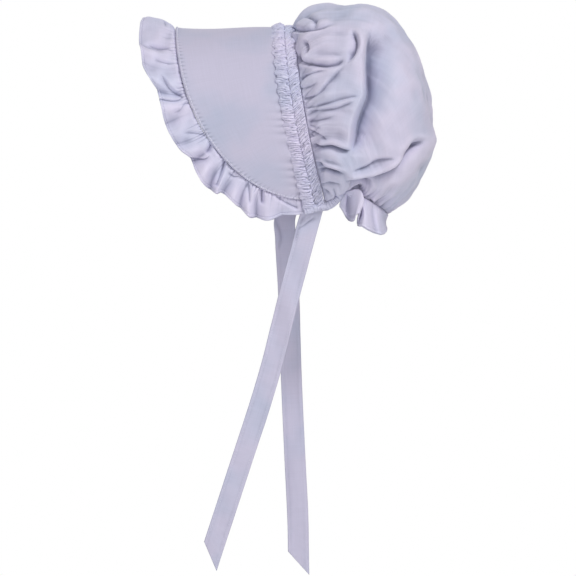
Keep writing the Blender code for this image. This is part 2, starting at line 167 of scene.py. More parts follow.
# how hollow the cloth is; the pieces' painted shade and painted highlight are coloured from it
def hollows(points, reaches, gain):
    # from -1 on ridges to 1 in valleys, against the mean surface within each reach
    normals = gridNormals(points)
    total = np.zeros(points.shape[:2])
    for reach in reaches:
        around = points
        for axis in (0, 1):
            step = np.median(np.linalg.norm(np.diff(points, axis=axis), axis=-1))
            half = min(max(1, round(reach / step)), points.shape[axis] // 3)
            pads = [(0, 0)] * 3
            pads[axis] = (half + 1, half)
            running = np.cumsum(np.pad(around, pads, mode="edge"), axis=axis)
            count = points.shape[axis]
            upper = np.take(running, np.arange(2 * half + 1, 2 * half + 1 + count), axis=axis)
            around = (upper - np.take(running, np.arange(count), axis=axis)) / (2 * half + 1)
        total += ((around - points) * normals).sum(axis=-1) / reach
    return np.clip(gain * total, -1.0, 1.0)


foldShape = {
    "pathStep": 0.7,  # millimetres, as all measures of folds
    "leastSteps": 48,
    "creaseReach": 2.2,  # in widths
    "creasePower": 2.2,
    "rollWidth": 0.8,  # share of the roll's distance from the crease
}


def fold(path, depth, widths, fade=(0.25, 0.35), soft=False, roll=0.0, rollAt=0.0):
    # A valley along a path in the side view. The widths are on the right and the left of the path's way,
    # fade is the share of the path at its start and its end, and a roll stands beside the crease.
    settings = {"path": path, "depth": depth, "widths": widths, "fade": fade}
    settings.update({"soft": soft, "roll": roll, "rollAt": rollAt})
    return settings


def foldRelief(x, z, folds):
    total = np.zeros(x.shape)
    for row in folds:
        path = np.array(row["path"], dtype=float)
        run = runLengths(*path.T)
        steps = max(foldShape["leastSteps"], int(run[-1] / foldShape["pathStep"]))
        wanted = np.linspace(0.0, run[-1], steps)
        line = smoothAlong(wanted, run, path)
        tangent = np.gradient(line, axis=0)
        tangent /= np.linalg.norm(tangent, axis=1, keepdims=True)
        reach = 3.0 * max(row["widths"]) + 2.0 * abs(row["rollAt"])
        near = np.ones(x.shape, dtype=bool)
        for values, known in ((x, line[:, 0]), (z, line[:, 1])):
            near &= (values > known.min() - reach) & (values < known.max() + reach)
        nearX, nearZ = x[near][:, None], z[near][:, None]
        away = (nearX - line[:, 0]) ** 2 + (nearZ - line[:, 1]) ** 2
        nearest = np.argmin(away, axis=1)
        distance = np.sqrt(away[np.arange(len(nearest)), nearest])
        offX, offZ = nearX[:, 0] - line[nearest, 0], nearZ[:, 0] - line[nearest, 1]
        side = tangent[nearest, 0] * offZ - tangent[nearest, 1] * offX
        width = np.where(side > 0, row["widths"][1], row["widths"][0])
        share = wanted[nearest] / run[-1]
        fadeIn, fadeOut = row["fade"]
        strength = smoothStep(share / fadeIn) if fadeIn else np.ones(len(share))
        strength = strength * (smoothStep((1.0 - share) / fadeOut) if fadeOut else 1.0)
        if row["soft"]:  # a rounded valley, or a ridge where the depth is negative
            value = -row["depth"] * hump(distance, 0.0, width)
        else:  # a crisp crease between rounded lobes
            crease = np.clip(1.0 - distance / (foldShape["creaseReach"] * width), 0.0, 1.0)
            value = -row["depth"] * crease ** foldShape["creasePower"]
        if row["roll"]:
            signed = distance * np.sign(side)
            value += row["roll"] * hump(signed, row["rollAt"], foldShape["rollWidth"] * abs(row["rollAt"]))
        total[near] += value * strength
    return total / 1000.0


print("shared shapes ready")

# Cloth finishes

clothFinish = {
    "warm": (0.642, 0.612, 0.766),
    "cool": (0.545, 0.577, 0.736),
    "patchSize": 0.045,  # of the soft warm and cool patches, metres
    "patchRange": (0.60, 0.94, 0.36),  # of the noise from warm to cool, and how far coolness shifts it
    "threadPitch": 0.00055,
    "threadDepth": 0.00003,
    "weaveStrength": 0.13,
    "slubs": 0.035,  # change of value along single threads
    "slubStretch": (30.0, 900.0),  # scale of the noise along and across a thread
    "crumple": 0.00025,
    "crumpleScale": 130.0,
    "crumpleStrength": 0.7,
    # colour factors for the painted highlight on ridges and the painted shade in valleys
    "ridge": (1.13, 1.11, 1.09, 1.0),
    "valley": (0.54, 0.55, 0.60, 1.0),
    "roughness": 0.86,
    "specular": 0.25,
    "sheen": 0.18,
    "sheenRoughness": 0.45,
    "threadColours": ((0.68, 0.67, 0.79, 1.0), (0.86, 0.85, 0.94, 1.0)),
}


def node(tree, kind, **settings):
    made = tree.nodes.new(kind)
    for name, value in settings.items():
        if name in made.inputs:
            made.inputs[name].default_value = value
        else:
            setattr(made, name, value)
    return made


def link(tree, *wires):
    # each wire: node, its output, node, its input
    for source, output, target, entry in wires:
        tree.links.new(source.outputs[output], target.inputs[entry])


def rangeNode(tree, *limits):
    made = node(tree, "ShaderNodeMapRange")
    for name, value in zip(("From Min", "From Max", "To Min", "To Max"), limits):
        made.inputs[name].default_value = value
    return made


def newMaterial(name, roughness):
    material = bpy.data.materials.new(name)
    material.use_nodes = True
    shader = material.node_tree.nodes["Principled BSDF"]
    shader.inputs["Roughness"].default_value = roughness
    return material, material.node_tree, shader


def makeCotton(name, paintedLight=1.0, coolness=0.5, crumple=1.0):
    material, tree, shader = newMaterial(name, clothFinish["roughness"])
    shader.inputs["Sheen Weight"].default_value = clothFinish["sheen"]
    shader.inputs["Sheen Roughness"].default_value = clothFinish["sheenRoughness"]
    shader.inputs["Specular IOR Level"].default_value = clothFinish["specular"]
    place = node(tree, "ShaderNodeTexCoord")
    weaveMap = node(tree, "ShaderNodeUVMap", uv_map="cloth")
    # warm and cool patches
    patchScale = 1.0 / clothFinish["patchSize"]
    patches = node(tree, "ShaderNodeTexNoise", Scale=patchScale, Detail=2.0, Roughness=0.45)
    warmest, coolest, shift = clothFinish["patchRange"]
    patchRange = rangeNode(tree, warmest - shift * coolness, coolest - shift * coolness, 0.0, 1.0)
    tint = node(tree, "ShaderNodeMix", data_type="RGBA")
    # the piece is made lighter or darker here: painted light and shade
    for socket, colour in ((6, clothFinish["warm"]), (7, clothFinish["cool"])):
        tint.inputs[socket].default_value = tuple(min(1.0, paintedLight * part) for part in colour) + (1.0,)
    # slubs: long thin streaks along and across the threads
    streaks = []
    along, across = clothFinish["slubStretch"]
    for stretch in ((along, across, 1.0), (across, along, 1.0)):
        mapping = node(tree, "ShaderNodeMapping", Scale=stretch)
        streak = node(tree, "ShaderNodeTexNoise", Scale=1.0, Detail=2.0, Roughness=0.6)
        link(tree, (weaveMap, "UV", mapping, "Vector"), (mapping, "Vector", streak, "Vector"))
        streaks.append(streak)
    both = node(tree, "ShaderNodeMath", operation="ADD")
    level = rangeNode(tree, 0.6, 1.4, 1.0 - clothFinish["slubs"], 1.0 + clothFinish["slubs"])
    shade = node(tree, "ShaderNodeVectorMath", operation="SCALE")
    # painted shading: valleys are painted darker and cooler as painted shade, ridges paler as a painted
    # highlight
    paintedShading = node(tree, "ShaderNodeAttribute", attribute_name="paintedShading")
    paintedShadingRange = rangeNode(tree, -1.0)
    paintedShadeAndHighlight = node(tree, "ShaderNodeValToRGB")
    paintedShadeAndHighlight.color_ramp.elements[0].color = clothFinish["ridge"]
    paintedShadeAndHighlight.color_ramp.elements[1].color = clothFinish["valley"]
    paintedShadeAndHighlight.color_ramp.elements.new(0.5).color = (1.0, 1.0, 1.0, 1.0)
    shaded = node(tree, "ShaderNodeVectorMath", operation="MULTIPLY")
    # plain weave: crossed threads, one over one
    threads = []
    for axis in "XY":
        wave = node(tree, "ShaderNodeTexWave", wave_type="BANDS", bands_direction=axis, Distortion=0.4)
        wave.inputs["Scale"].default_value = 2.0 * math.pi / (20.0 * clothFinish["threadPitch"])
        wave.inputs["Detail Scale"].default_value = 0.6
        link(tree, (weaveMap, "UV", wave, "Vector"))
        threads.append(wave)
    weave = node(tree, "ShaderNodeMath", operation="MULTIPLY")
    depth, strength = clothFinish["threadDepth"], clothFinish["weaveStrength"]
    weaveBump = node(tree, "ShaderNodeBump", Strength=strength, Distance=depth)
    crumpling = node(tree, "ShaderNodeTexNoise", Scale=clothFinish["crumpleScale"], Detail=4.0)
    depth, strength = clothFinish["crumple"] * crumple, clothFinish["crumpleStrength"]
    crumpleBump = node(tree, "ShaderNodeBump", Strength=strength, Distance=depth)
    link(
        tree,
        (place, "Object", patches, "Vector"),
        (patches, "Fac", patchRange, "Value"),
        (patchRange, "Result", tint, "Factor"),
        (streaks[0], "Fac", both, 0),
        (streaks[1], "Fac", both, 1),
        (both, 0, level, "Value"),
        (tint, 2, shade, 0),
        (level, "Result", shade, "Scale"),
        (paintedShading, "Fac", paintedShadingRange, "Value"),
        (paintedShadingRange, "Result", paintedShadeAndHighlight, "Fac"),
        (shade, "Vector", shaded, 0),
        (paintedShadeAndHighlight, "Color", shaded, 1),
        (shaded, "Vector", shader, "Base Color"),
        (threads[0], "Fac", weave, 0),
        (threads[1], "Fac", weave, 1),
        (weave, 0, weaveBump, "Height"),
        (place, "Object", crumpling, "Vector"),
        (crumpling, "Fac", crumpleBump, "Height"),
        (crumpleBump, "Normal", weaveBump, "Normal"),
        (weaveBump, "Normal", shader, "Normal"),
    )
    return material


# copies of one cotton, one per piece, each made lighter or darker as painted light and shade
brimCotton = makeCotton("brimCotton", paintedLight=0.94, crumple=0.5)
frillCotton = makeCotton("frillCotton", paintedLight=1.09, coolness=0.42)
bandCotton = makeCotton("bandCotton", paintedLight=1.08, coolness=0.60)
crownCotton = makeCotton("crownCotton", paintedLight=0.985, coolness=0.54)
tieCotton = makeCotton("tieCotton", coolness=0.35, crumple=0.6)


def makeThread():
    material, tree, shader = newMaterial("sewingThread", 0.7)
    place = node(tree, "ShaderNodeTexCoord")
    change = node(tree, "ShaderNodeTexNoise", Scale=400.0, Detail=1.0)
    ramp = node(tree, "ShaderNodeValToRGB")
    for element, colour in zip(ramp.color_ramp.elements, clothFinish["threadColours"]):
        element.color = colour
    link(
        tree,
        (place, "Object", change, "Vector"),
        (change, "Fac", ramp, "Fac"),
        (ramp, "Color", shader, "Base Color"),
    )
    return material


sewingThread = makeThread()
print("materials ready")

# Cloth pieces


def placed(name, data):
    obj = bpy.data.objects.new(name, data)
    bpy.context.scene.collection.objects.link(obj)
    return obj


def clothMesh(name, points, material, paintedShading=None):
    rows, columns = points.shape[:2]
    index = np.arange(rows * columns).reshape(rows, columns)
    corners = (index[:-1, :-1], index[:-1, 1:], index[1:, 1:], index[1:, :-1])
    faces = np.stack(corners, axis=-1).reshape(-1, 4)
    mesh = bpy.data.meshes.new(name)
    mesh.from_pydata(points.reshape(-1, 3).tolist(), [], faces.tolist())
    across = runLengths(*points[rows // 2].T)
    along = runLengths(*points[:, 3 * columns // 4].T)
    spread = np.stack(np.meshgrid(across, along), axis=-1).reshape(-1, 2)
    layer = mesh.uv_layers.new(name="cloth")
    layer.data.foreach_set("uv", spread[faces.reshape(-1)].ravel())
    # painted shade and painted highlight, as a point attribute that the cotton reads
    if paintedShading is not None:
        mesh.attributes.new("paintedShading", "FLOAT", "POINT").data.foreach_set("value", paintedShading.ravel())
    mesh.materials.append(material)
    mesh.shade_smooth()
    return placed(name, mesh)


def addWall(obj, wall):
    solidify = obj.modifiers.new("Wall", "SOLIDIFY")
    solidify.thickness = wall
    solidify.offset = -1.0
    return obj


def sewnOn(obj, nodeName):
    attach(obj, "root")
    if nodeName:
        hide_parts(nodeName)
    return obj


def makePiece(name, nodeName, shape, material, reaches, gain, wall=None):
    # reaches and gain set the painted shade in the piece's valleys and the painted highlight on its ridges
    obj = clothMesh(name, shape, material, hollows(shape, reaches, gain))
    if wall:
        addWall(obj, wall)
    return sewnOn(obj, nodeName)


def baked(obj):
    # the evaluated object as a plain mesh, without its modifiers
    graph = bpy.context.evaluated_depsgraph_get()
    evaluated = obj.evaluated_get(graph)
    mesh = bpy.data.meshes.new_from_object(evaluated, preserve_all_data_layers=True, depsgraph=graph)
    mesh.name = obj.name
    obj.modifiers.clear()
    old = obj.data
    obj.data = mesh
    bpy.data.meshes.remove(old)
    return obj


# Stitch rows: small thread stitches along a line that carries the cloth's outward direction

stitchRow = {"pitch": 0.0028, "length": 0.0021, "thread": 0.00042, "sink": 0.0001}


def newTree(name, geometryIn, numbers, geometryOut):
    tree = bpy.data.node_groups.new(name, "GeometryNodeTree")
    kinds = [(geometryIn, "Geometry")] + [(number, "Float") for number in numbers]
    for socket, kind in kinds + [("Seed", "Int"), ("Material", "Material")]:
        tree.interface.new_socket(name=socket, in_out="INPUT", socket_type="NodeSocket" + kind)
    tree.interface.new_socket(name=geometryOut, in_out="OUTPUT", socket_type="NodeSocketGeometry")
    return tree, tree.nodes.new("NodeGroupInput"), tree.nodes.new("NodeGroupOutput")


def makeStitchTree():
    numbers = ("Pitch", "Length", "Thread")
    tree, given, result = newTree("stitches along a seam", "Seam", numbers, "Stitches")
    curve = tree.nodes.new("GeometryNodeMeshToCurve")
    resample = node(tree, "GeometryNodeResampleCurve", mode="LENGTH")
    tangent = tree.nodes.new("GeometryNodeInputTangent")
    outward = node(tree, "GeometryNodeInputNamedAttribute", data_type="FLOAT_VECTOR", Name="outward")
    turn = node(tree, "FunctionNodeAxesToRotation", primary_axis="Z", secondary_axis="X")
    body = node(tree, "GeometryNodeMeshUVSphere", Segments=6, Rings=5, Radius=0.5)
    size = tree.nodes.new("ShaderNodeCombineXYZ")
    shaped = tree.nodes.new("GeometryNodeTransform")
    points = tree.nodes.new("GeometryNodeInstanceOnPoints")
    chance = node(tree, "FunctionNodeRandomValue", data_type="FLOAT")
    for socket, value in zip([socket for socket in chance.inputs if socket.type == "VALUE"], (0.8, 1.12)):
        socket.default_value = value
    chanceOut = [socket for socket in chance.outputs if socket.type == "VALUE"][0]
    tree.links.new(chanceOut, points.inputs["Scale"])
    real = tree.nodes.new("GeometryNodeRealizeInstances")
    smooth = tree.nodes.new("GeometryNodeSetShadeSmooth")
    finish = tree.nodes.new("GeometryNodeSetMaterial")
    link(
        tree,
        (given, "Seam", curve, "Mesh"),
        (curve, "Curve", resample, "Curve"),
        (given, "Pitch", resample, "Length"),
        (outward, "Attribute", turn, "Primary Axis"),
        (tangent, "Tangent", turn, "Secondary Axis"),
        (given, "Length", size, "X"),
        (given, "Thread", size, "Y"),
        (given, "Thread", size, "Z"),
        (body, "Mesh", shaped, "Geometry"),
        (size, "Vector", shaped, "Scale"),
        (resample, "Curve", points, "Points"),
        (shaped, "Geometry", points, "Instance"),
        (turn, "Rotation", points, "Rotation"),
        (given, "Seed", chance, "Seed"),
        (points, "Instances", real, "Geometry"),
        (real, "Geometry", smooth, "Geometry"),
        (smooth, "Geometry", finish, "Geometry"),
        (given, "Material", finish, "Material"),
        (finish, "Geometry", result, "Stitches"),
    )
    return tree


stitchTree = makeStitchTree()


def setInputs(modifier, values):
    for item in modifier.node_group.interface.items_tree:
        if item.item_type == "SOCKET" and item.in_out == "INPUT" and item.name in values:
            modifier[item.identifier] = values[item.name]


def sewStitches(name, nodeName, lines, seed, **changes):
    # lines: (points, outward directions) of each row; changes: other sizes than the usual row's
    row = {**stitchRow, **changes}
    mesh = bpy.data.meshes.new(name)
    places, edges, directions = [], [], []
    for points, outward in lines:
        first = len(places)
        places += (points + outward * (0.5 * stitchRow["thread"] - stitchRow["sink"])).tolist()
        directions += outward.tolist()
        edges += [(first + step, first + step + 1) for step in range(len(points) - 1)]
    mesh.from_pydata(places, edges, [])
    attribute = mesh.attributes.new("outward", "FLOAT_VECTOR", "POINT")
    attribute.data.foreach_set("vector", np.array(directions).ravel())
    obj = placed(name, mesh)
    modifier = obj.modifiers.new("Stitches", "NODES")
    modifier.node_group = stitchTree
    sizes = {"Pitch": row["pitch"], "Length": row["length"], "Thread": row["thread"]}
    setInputs(modifier, {**sizes, "Seed": seed, "Material": sewingThread})
    return sewnOn(baked(obj), None)


def lineOn(points, rowPlace=None, column=None, first=0, last=None):
    # a line on a grid, between two rows or on a column, with outward directions
    normals = gridNormals(points)
    if rowPlace is not None:
        low = int(rowPlace)
        part = rowPlace - low
        high = min(low + 1, points.shape[0] - 1)
        line, outward = points[low] * (1 - part) + points[high] * part, normals[low]
    else:
        line, outward = points[:, column], normals[:, column]
    return line[first:last], outward[first:last]


# Brim: a stiff doubled panel, flat but for small puckers at its seams

brim = {
    "reach": 0.0980,
    "cornerRise": 0.013,
    "flare": 0.0045,
    "rounding": 1.9,
    "keptShare": 0.985,
    "wall": 0.0020,
    "columns": 240,
    "rows": 66,
    "rowPower": 1.15,  # above 1 the rows lie closest at the edge
    "swell": (0.0005, 0.085, 4),  # broad unevenness of the panel: height, size and seed, as all swells
    "puckers": 0.0010,  # beside the band
    "puckerPitch": 0.0095,
    "puckerReach": 0.007,
    "puckerWander": (0.35, 0.05, 7),
    "puckerStart": 0.0015,  # from the band
    "edgeRoll": 0.0010,
    "rollBumps": (0.45, 0.0035, 8),
    "rollEnd": 0.0004,
    "rollPlace": 0.0012,  # from the edge, as the next ones
    "rollWidth": 0.0010,
    "stitchInset": 0.0020,  # topstitching
    "stitchGroove": 0.0003,
    "grooveWidth": 0.0009,
    "stitchPull": 0.00035,
    "pullPlace": 0.0040,
    "pullWidth": 0.002,
    "pullPitch": 0.0046,
}
brimDepth = faceArch["height"] - brim["cornerRise"]


def facePoint(x, length):
    y, z = archAt(length)
    forward = np.clip(bandX(-faceArch["headingWidth"], z) - x, 0.0, None)
    flare = brim["flare"] * forward / brim["reach"]
    return np.stack((x, y * (1.0 + flare / faceArch["halfWidth"]), z), axis=-1)


def brimEdge(shares):
    # x and arch length of the front edge, evenly spaced along it
    cornerX = float(bandX(-faceArch["headingWidth"], np.array(-brimDepth)))
    sideReach = cornerX + faceArch["headingWidth"] + brim["reach"]
    turn = np.linspace(0.0, math.pi / 2, faceArch["steps"])
    x = cornerX - sideReach * np.cos(turn) ** (2.0 / brim["rounding"])
    length = lengthAtDepth(brimDepth * np.sin(turn) ** (2.0 / brim["rounding"]))
    run = runLengths(x, length)
    wanted = np.abs(shares) * run[-1]
    return np.interp(wanted, run, x), np.sign(shares) * np.interp(wanted, run, length), run[-1]


def brimGrid():
    shares = brim["keptShare"] * unevenShares(brim["columns"] // 2, brim["columns"] // 2)
    edgeX, edgeLength, edgeRun = brimEdge(shares)
    seamLength = shares * lengthAtDepth(brimDepth)
    seamX = bandX(-faceArch["headingWidth"], archAt(seamLength)[1]) - faceArch["gap"]
    parts = np.linspace(0.0, 1.0, brim["rows"]) ** brim["rowPower"]
    x = edgeX + (seamX - edgeX) * parts[:, None]
    length = edgeLength + (seamLength - edgeLength) * parts[:, None]
    points = lifted(facePoint(x, length), brim["wall"])
    fromEdge = np.hypot(x - edgeX, length - edgeLength)
    fromBand = np.hypot(x - seamX, length - seamLength)
    place = np.stack((x, length), axis=-1)
    relief = swell(place, brim["swell"])
    wander = swell(length[..., None], brim["puckerWander"])
    pucker = np.cos(2.0 * math.pi * (length / brim["puckerPitch"] + wander))
    pucker = pucker * smoothStep(np.abs(length) / 0.16 - 0.2)  # most of all low down
    fade = np.exp(-fromBand / brim["puckerReach"]) * smoothStep(fromBand / brim["puckerStart"])
    relief += brim["puckers"] * pucker * fade
    relief -= brim["stitchGroove"] * hump(fromEdge, brim["stitchInset"], brim["grooveWidth"])
    bumpy = 1.0 + swell(np.abs(shares)[:, None] * edgeRun, brim["rollBumps"])
    roll = hump(fromEdge, brim["rollPlace"], brim["rollWidth"]) - np.exp(-fromEdge / brim["rollEnd"])
    relief += brim["edgeRoll"] * bumpy * roll
    stitchPull = np.cos(2.0 * math.pi * np.abs(shares) * edgeRun / brim["pullPitch"])
    relief += brim["stitchPull"] * stitchPull * hump(fromEdge, brim["pullPlace"], brim["pullWidth"])
    return lifted(points, relief), fromEdge


brimShape, brimFromEdge = brimGrid()
brimPanel = makePiece("brimPanel", "brim", brimShape, brimCotton, (0.0015, 0.004), 1.6, brim["wall"])


def insetLine(points, distances, inset):
    # the line at a distance from a grid's first row
    normals = gridNormals(points)
    line, outward = [], []
    for column in range(points.shape[1]):
        place = np.interp(inset, distances[:, column], np.arange(points.shape[0]))
        low = min(int(place), points.shape[0] - 2)
        part = place - low
        line.append(points[low, column] * (1 - part) + points[low + 1, column] * part)
        outward.append(normals[low, column])
    return np.array(line), np.array(outward)


brimLine = insetLine(brimShape, brimFromEdge, brim["stitchInset"])
brimStitches = sewStitches("brimStitches", "brim", [brimLine], 11, length=0.0023, thread=0.0009)
print("brim made")

# Brim ruffle: gathered at its seam, in lobes that rise towards a stitched hem

ruffle = {
    "depth": 0.029,
    "wave": 0.0062,
    "wall": 0.0009,
    "columns": 1100,
    "rows": 44,
    "gathers": 0.0026,
    "gatherPitch": 0.0058,
    "gatherLength": 0.0065,
    "gatherWander": (0.9, 0.045, 21),
    "gatherStrength": (0.45, 0.02, 22),
    "gatherReach": (0.5, 0.015, 24),
    "gatherStart": 0.0008,  # from the seam, as the next starts
    "foldStart": 0.0015,
    "crumpleStart": 0.006,
    "puckers": 0.0012,  # small ones, hard by the seam
    "puckerPitch": 0.0026,
    "puckerReach": 0.0022,
    "foldGain": 1.0,
    "tuck": 0.0014,  # how far its seam lies below the brim's rolled edge
    "tuckWidth": 0.0016,
    "crumple": (0.0005, 0.016, 23),
    "hem": 0.0022,
    "hemHeight": 0.0004,
    "hemEase": 0.0006,
    "hemGroove": 0.0006,
    "hemGrooveWidth": 0.0005,
    # shares of the rows, and of the depth from the hem: they lie closest at the hem, then at the seam
    "rowPlaces": ((0.0, 0.3, 0.85, 1.0), (1.0, 0.87, 0.12, 0.0)),
    # share of the seam from the top, sideways run of the fold, height of the wave, curl of the hem
    "pleats": (
        (0.000, 0.00, 1.75, 0.45),
        (0.205, -0.55, 0.75, 0.15),
        (0.285, -0.50, 0.40, 0.05),
        (0.380, -0.35, 1.10, 0.10),
        (0.455, 0.00, 0.70, 0.20),
        (0.545, -0.20, 0.60, 0.10),
        (0.605, 0.00, 1.00, 0.10),
        (0.672, 0.35, 1.00, 0.15),
        (0.735, 0.10, 0.60, 0.05),
        (0.788, 0.25, 0.80, 0.10),
        (0.842, 0.30, 0.90, 0.10),
        (0.930, 0.10, 0.40, 0.00),
    ),
    # share of the seam, share of the depth
    "outline": (
        (0.00, 1.12), (0.08, 1.20), (0.18, 1.24), (0.26, 1.21), (0.31, 1.18), (0.35, 1.07),
        (0.377, 0.90), (0.40, 0.92), (0.44, 1.02), (0.50, 1.05), (0.56, 1.00), (0.595, 0.86),
        (0.62, 0.98), (0.67, 1.05), (0.70, 0.98), (0.73, 0.86), (0.763, 0.86), (0.80, 0.95),
        (0.83, 0.98), (0.86, 0.92), (0.88, 0.85), (0.90, 0.77), (0.915, 0.68), (1.00, 0.44),
    ),
    "folds": (
        fold([(-125, 8), (-121, 2), (-117, -4)], 2.2, (1.4, 3.0)),
        fold([(-138, -15), (-127, -17), (-117, -19), (-110, -25)], 3.0, (3.0, 1.6)),
        fold([(-132, -30), (-120, -34), (-108, -37)], 2.0, (3.5, 1.8)),
        fold([(-104, -66), (-115, -59), (-121, -49), (-124, -44)], 4.0, (1.5, 4.0), fade=(0, 0.4)),
        fold([(-99, -74), (-105, -82), (-113, -84)], 3.2, (3.5, 3.5), fade=(0, 0.5)),
        fold([(-80, -106), (-91, -104), (-104, -104)], 2.4, (2.0, 2.6), fade=(0, 0.5)),
        fold([(-72, -113), (-75, -119), (-78, -125)], 4.6, (2.6, 2.6), fade=(0, 0.35)),
        fold([(-94, -128), (-86, -129.5), (-79, -129.5), (-73, -125)], 3.4, (4.5, 0.8), fade=(0, 0.4)),
        fold([(-122, -71), (-113, -72.5), (-106, -71.5), (-99, -66)], 3.6, (5.0, 0.9), fade=(0, 0.4)),
        fold([(-59, -131), (-63, -144), (-68.5, -157)], 5.0, (2.4, 1.5), fade=(0, 0.1)),
        fold([(-57, -142), (-50, -147), (-42, -146)], 2.4, (2.0, 1.2)),
        fold([(-35.5, -156), (-35, -166), (-34.5, -175)], 3.0, (2.6, 1.4), fade=(0, 0.3)),
        fold([(-22.5, -157), (-22.5, -166), (-22.5, -175)], 5.0, (1.8, 2.2), fade=(0, 0.2)),
        fold([(-13, -163), (-3.5, -170), (6, -175.5), (14.5, -179)], 2.8, (1.2, 2.4), fade=(0.1, 0.1)),
    ),
}


def softTable(shares, table, column):
    places = np.array([row[0] for row in table])
    values = np.array([row[column] for row in table])
    inside = np.clip(np.abs(shares), places[0], places[-1])
    return smoothAlong(inside.ravel(), places, values).reshape(np.shape(shares))


farSide = {"right": 5.0, "rightLean": 0.05, "up": 4.0, "upLean": 0.06}


def farWarp(x, z, far):
    # the far side has the same kind of folds, a little shifted, so that it isn't a mirror image
    right = farSide["right"] + farSide["rightLean"] * z
    return x + far * right, z + far * (farSide["up"] - farSide["upLean"] * x)


def ruffleGrid():
    half = ruffle["columns"] // 2
    shares = unevenShares(half, half)
    places = [pleat[0] for pleat in ruffle["pleats"]] + [1.0]
    count = len(ruffle["pleats"])
    phase = np.interp(np.abs(shares), places, [0.5] + list(range(1, count)) + [count - 0.5])
    edgeX, edgeLength, edgeRun = brimEdge(shares)
    alongX, alongLength = unitAlong(edgeX, edgeLength)
    reach = ruffle["depth"] * softTable(shares, ruffle["outline"], 1)
    run = -np.sign(shares) * ruffle["depth"] * softTable(shares, ruffle["pleats"], 1)
    run = run * smoothStep(np.abs(shares) / 0.05)
    parts = np.interp(np.linspace(0.0, 1.0, ruffle["rows"]), *ruffle["rowPlaces"])[:, None]
    fromSeam = reach * parts
    outward = fromSeam + faceArch["gap"]
    sideways = run * parts * parts
    x = edgeX + alongLength * outward + alongX * sideways
    length = edgeLength - alongX * outward + alongLength * sideways
    flat = facePoint(x, length)
    # the wave, which rises towards the hem and curls over there
    height = softTable(shares, ruffle["pleats"], 2) * np.minimum(1.0, reach / ruffle["depth"])
    lobe = (0.5 - 0.5 * np.cos(2.0 * math.pi * phase)) ** 0.7
    wave = ruffle["wave"] * height * (2.0 * lobe - 0.4)
    curl = 1.0 - softTable(shares, ruffle["pleats"], 3) * smoothStep((parts - 0.55) / 0.6)
    relief = wave * parts**0.8 * curl - ruffle["tuck"] * hump(fromSeam, 0.0, ruffle["tuckWidth"])
    # gathers and small puckers at the seam
    seam = shares * edgeRun
    wander = swell(seam[:, None], ruffle["gatherWander"])
    gather = gathered(seam, ruffle["gatherPitch"], wander, 0.7) - 0.5
    strength = np.clip(0.7 + swell(seam[:, None], ruffle["gatherStrength"]), 0.15, 1.5)
    fade = np.exp(-fromSeam / (ruffle["gatherLength"] * unevenReach(seam, ruffle["gatherReach"])))
    relief += ruffle["gathers"] * gather * strength * fade * smoothStep(fromSeam / ruffle["gatherStart"])
    pucker = gathered(seam, ruffle["puckerPitch"], 1.5 * wander, 0.6) - 0.5
    relief += ruffle["puckers"] * pucker * np.exp(-fromSeam / ruffle["puckerReach"])
    # folds, crumples and the hem
    far = (shares > 0).astype(float)[None, :] * np.ones_like(flat[..., 0])
    sideX, sideZ = farWarp(flat[..., 0] * 1000.0, flat[..., 2] * 1000.0, far)
    folds = foldRelief(sideX, sideZ, ruffle["folds"])
    relief += ruffle["foldGain"] * folds * smoothStep(fromSeam / ruffle["foldStart"])
    relief += swell(flat, ruffle["crumple"]) * smoothStep(fromSeam / ruffle["crumpleStart"])
    fromHem = reach * (1.0 - parts)
    relief += hemStep(fromHem, ruffle["hem"], ruffle["hemHeight"], ruffle["hemEase"])
    relief -= ruffle["hemGroove"] * hump(fromHem, ruffle["hem"], ruffle["hemGrooveWidth"])
    return lifted(flat, ruffle["wall"] + relief), fromHem


ruffleShape, ruffleFromHem = ruffleGrid()
brimRuffle = makePiece(
    "brimRuffle", "brim_ruffle", ruffleShape, frillCotton, (0.0010, 0.004, 0.012), 1.2, ruffle["wall"]
)
ruffleLine = insetLine(ruffleShape, ruffleFromHem, ruffle["hem"] - 0.0005)
ruffleStitches = sewStitches("ruffleStitches", "brim_ruffle", [ruffleLine], 12)
print("ruffle made")

# Band: two ruched columns, whose ribs come from a Geometry Nodes tree

band = {
    "wall": 0.0016,
    "columns": 1500,
    "rows": 18,
    "pitch": 0.0022,
    "ribHeight": 0.0024,
    "endTaper": 0.020,  # length over which the rear column narrows at the corners
    "endShare": 0.10,
    "edgeWaveSizes": (0.009, 0.006),  # of the front and the rear edge
    "puffShare": (0.2, 0.012),  # change of the puff along the band, and its size
    "endCuts": (0.0, 0.0030, 0.0060),  # slant of the lower ends: front edge, middle stitching, rear edge
    "overlap": 0.0016,  # of the heading over the brim
    "ribWander": 3.8,
    "paintedRibShadeGain": 3.2,  # of the painted shade between ribs and the painted highlight on them
    # plain: how much of the ribs' height the front edge lacks; wavy: height of both edges' waves
    "heading": {"puff": 0.0022, "slant": 0.0022, "seed": 31, "plain": 0.6, "wavy": (0.0006, 0.0004)},
    "casing": {"puff": 0.0009, "slant": -0.0075, "seed": 41, "plain": 0.0, "wavy": (0.0, 0.0)},
}
halfBand = lengthAtDepth(faceArch["height"])
bandLengths = np.linspace(halfBand, -halfBand, band["columns"] + 1)


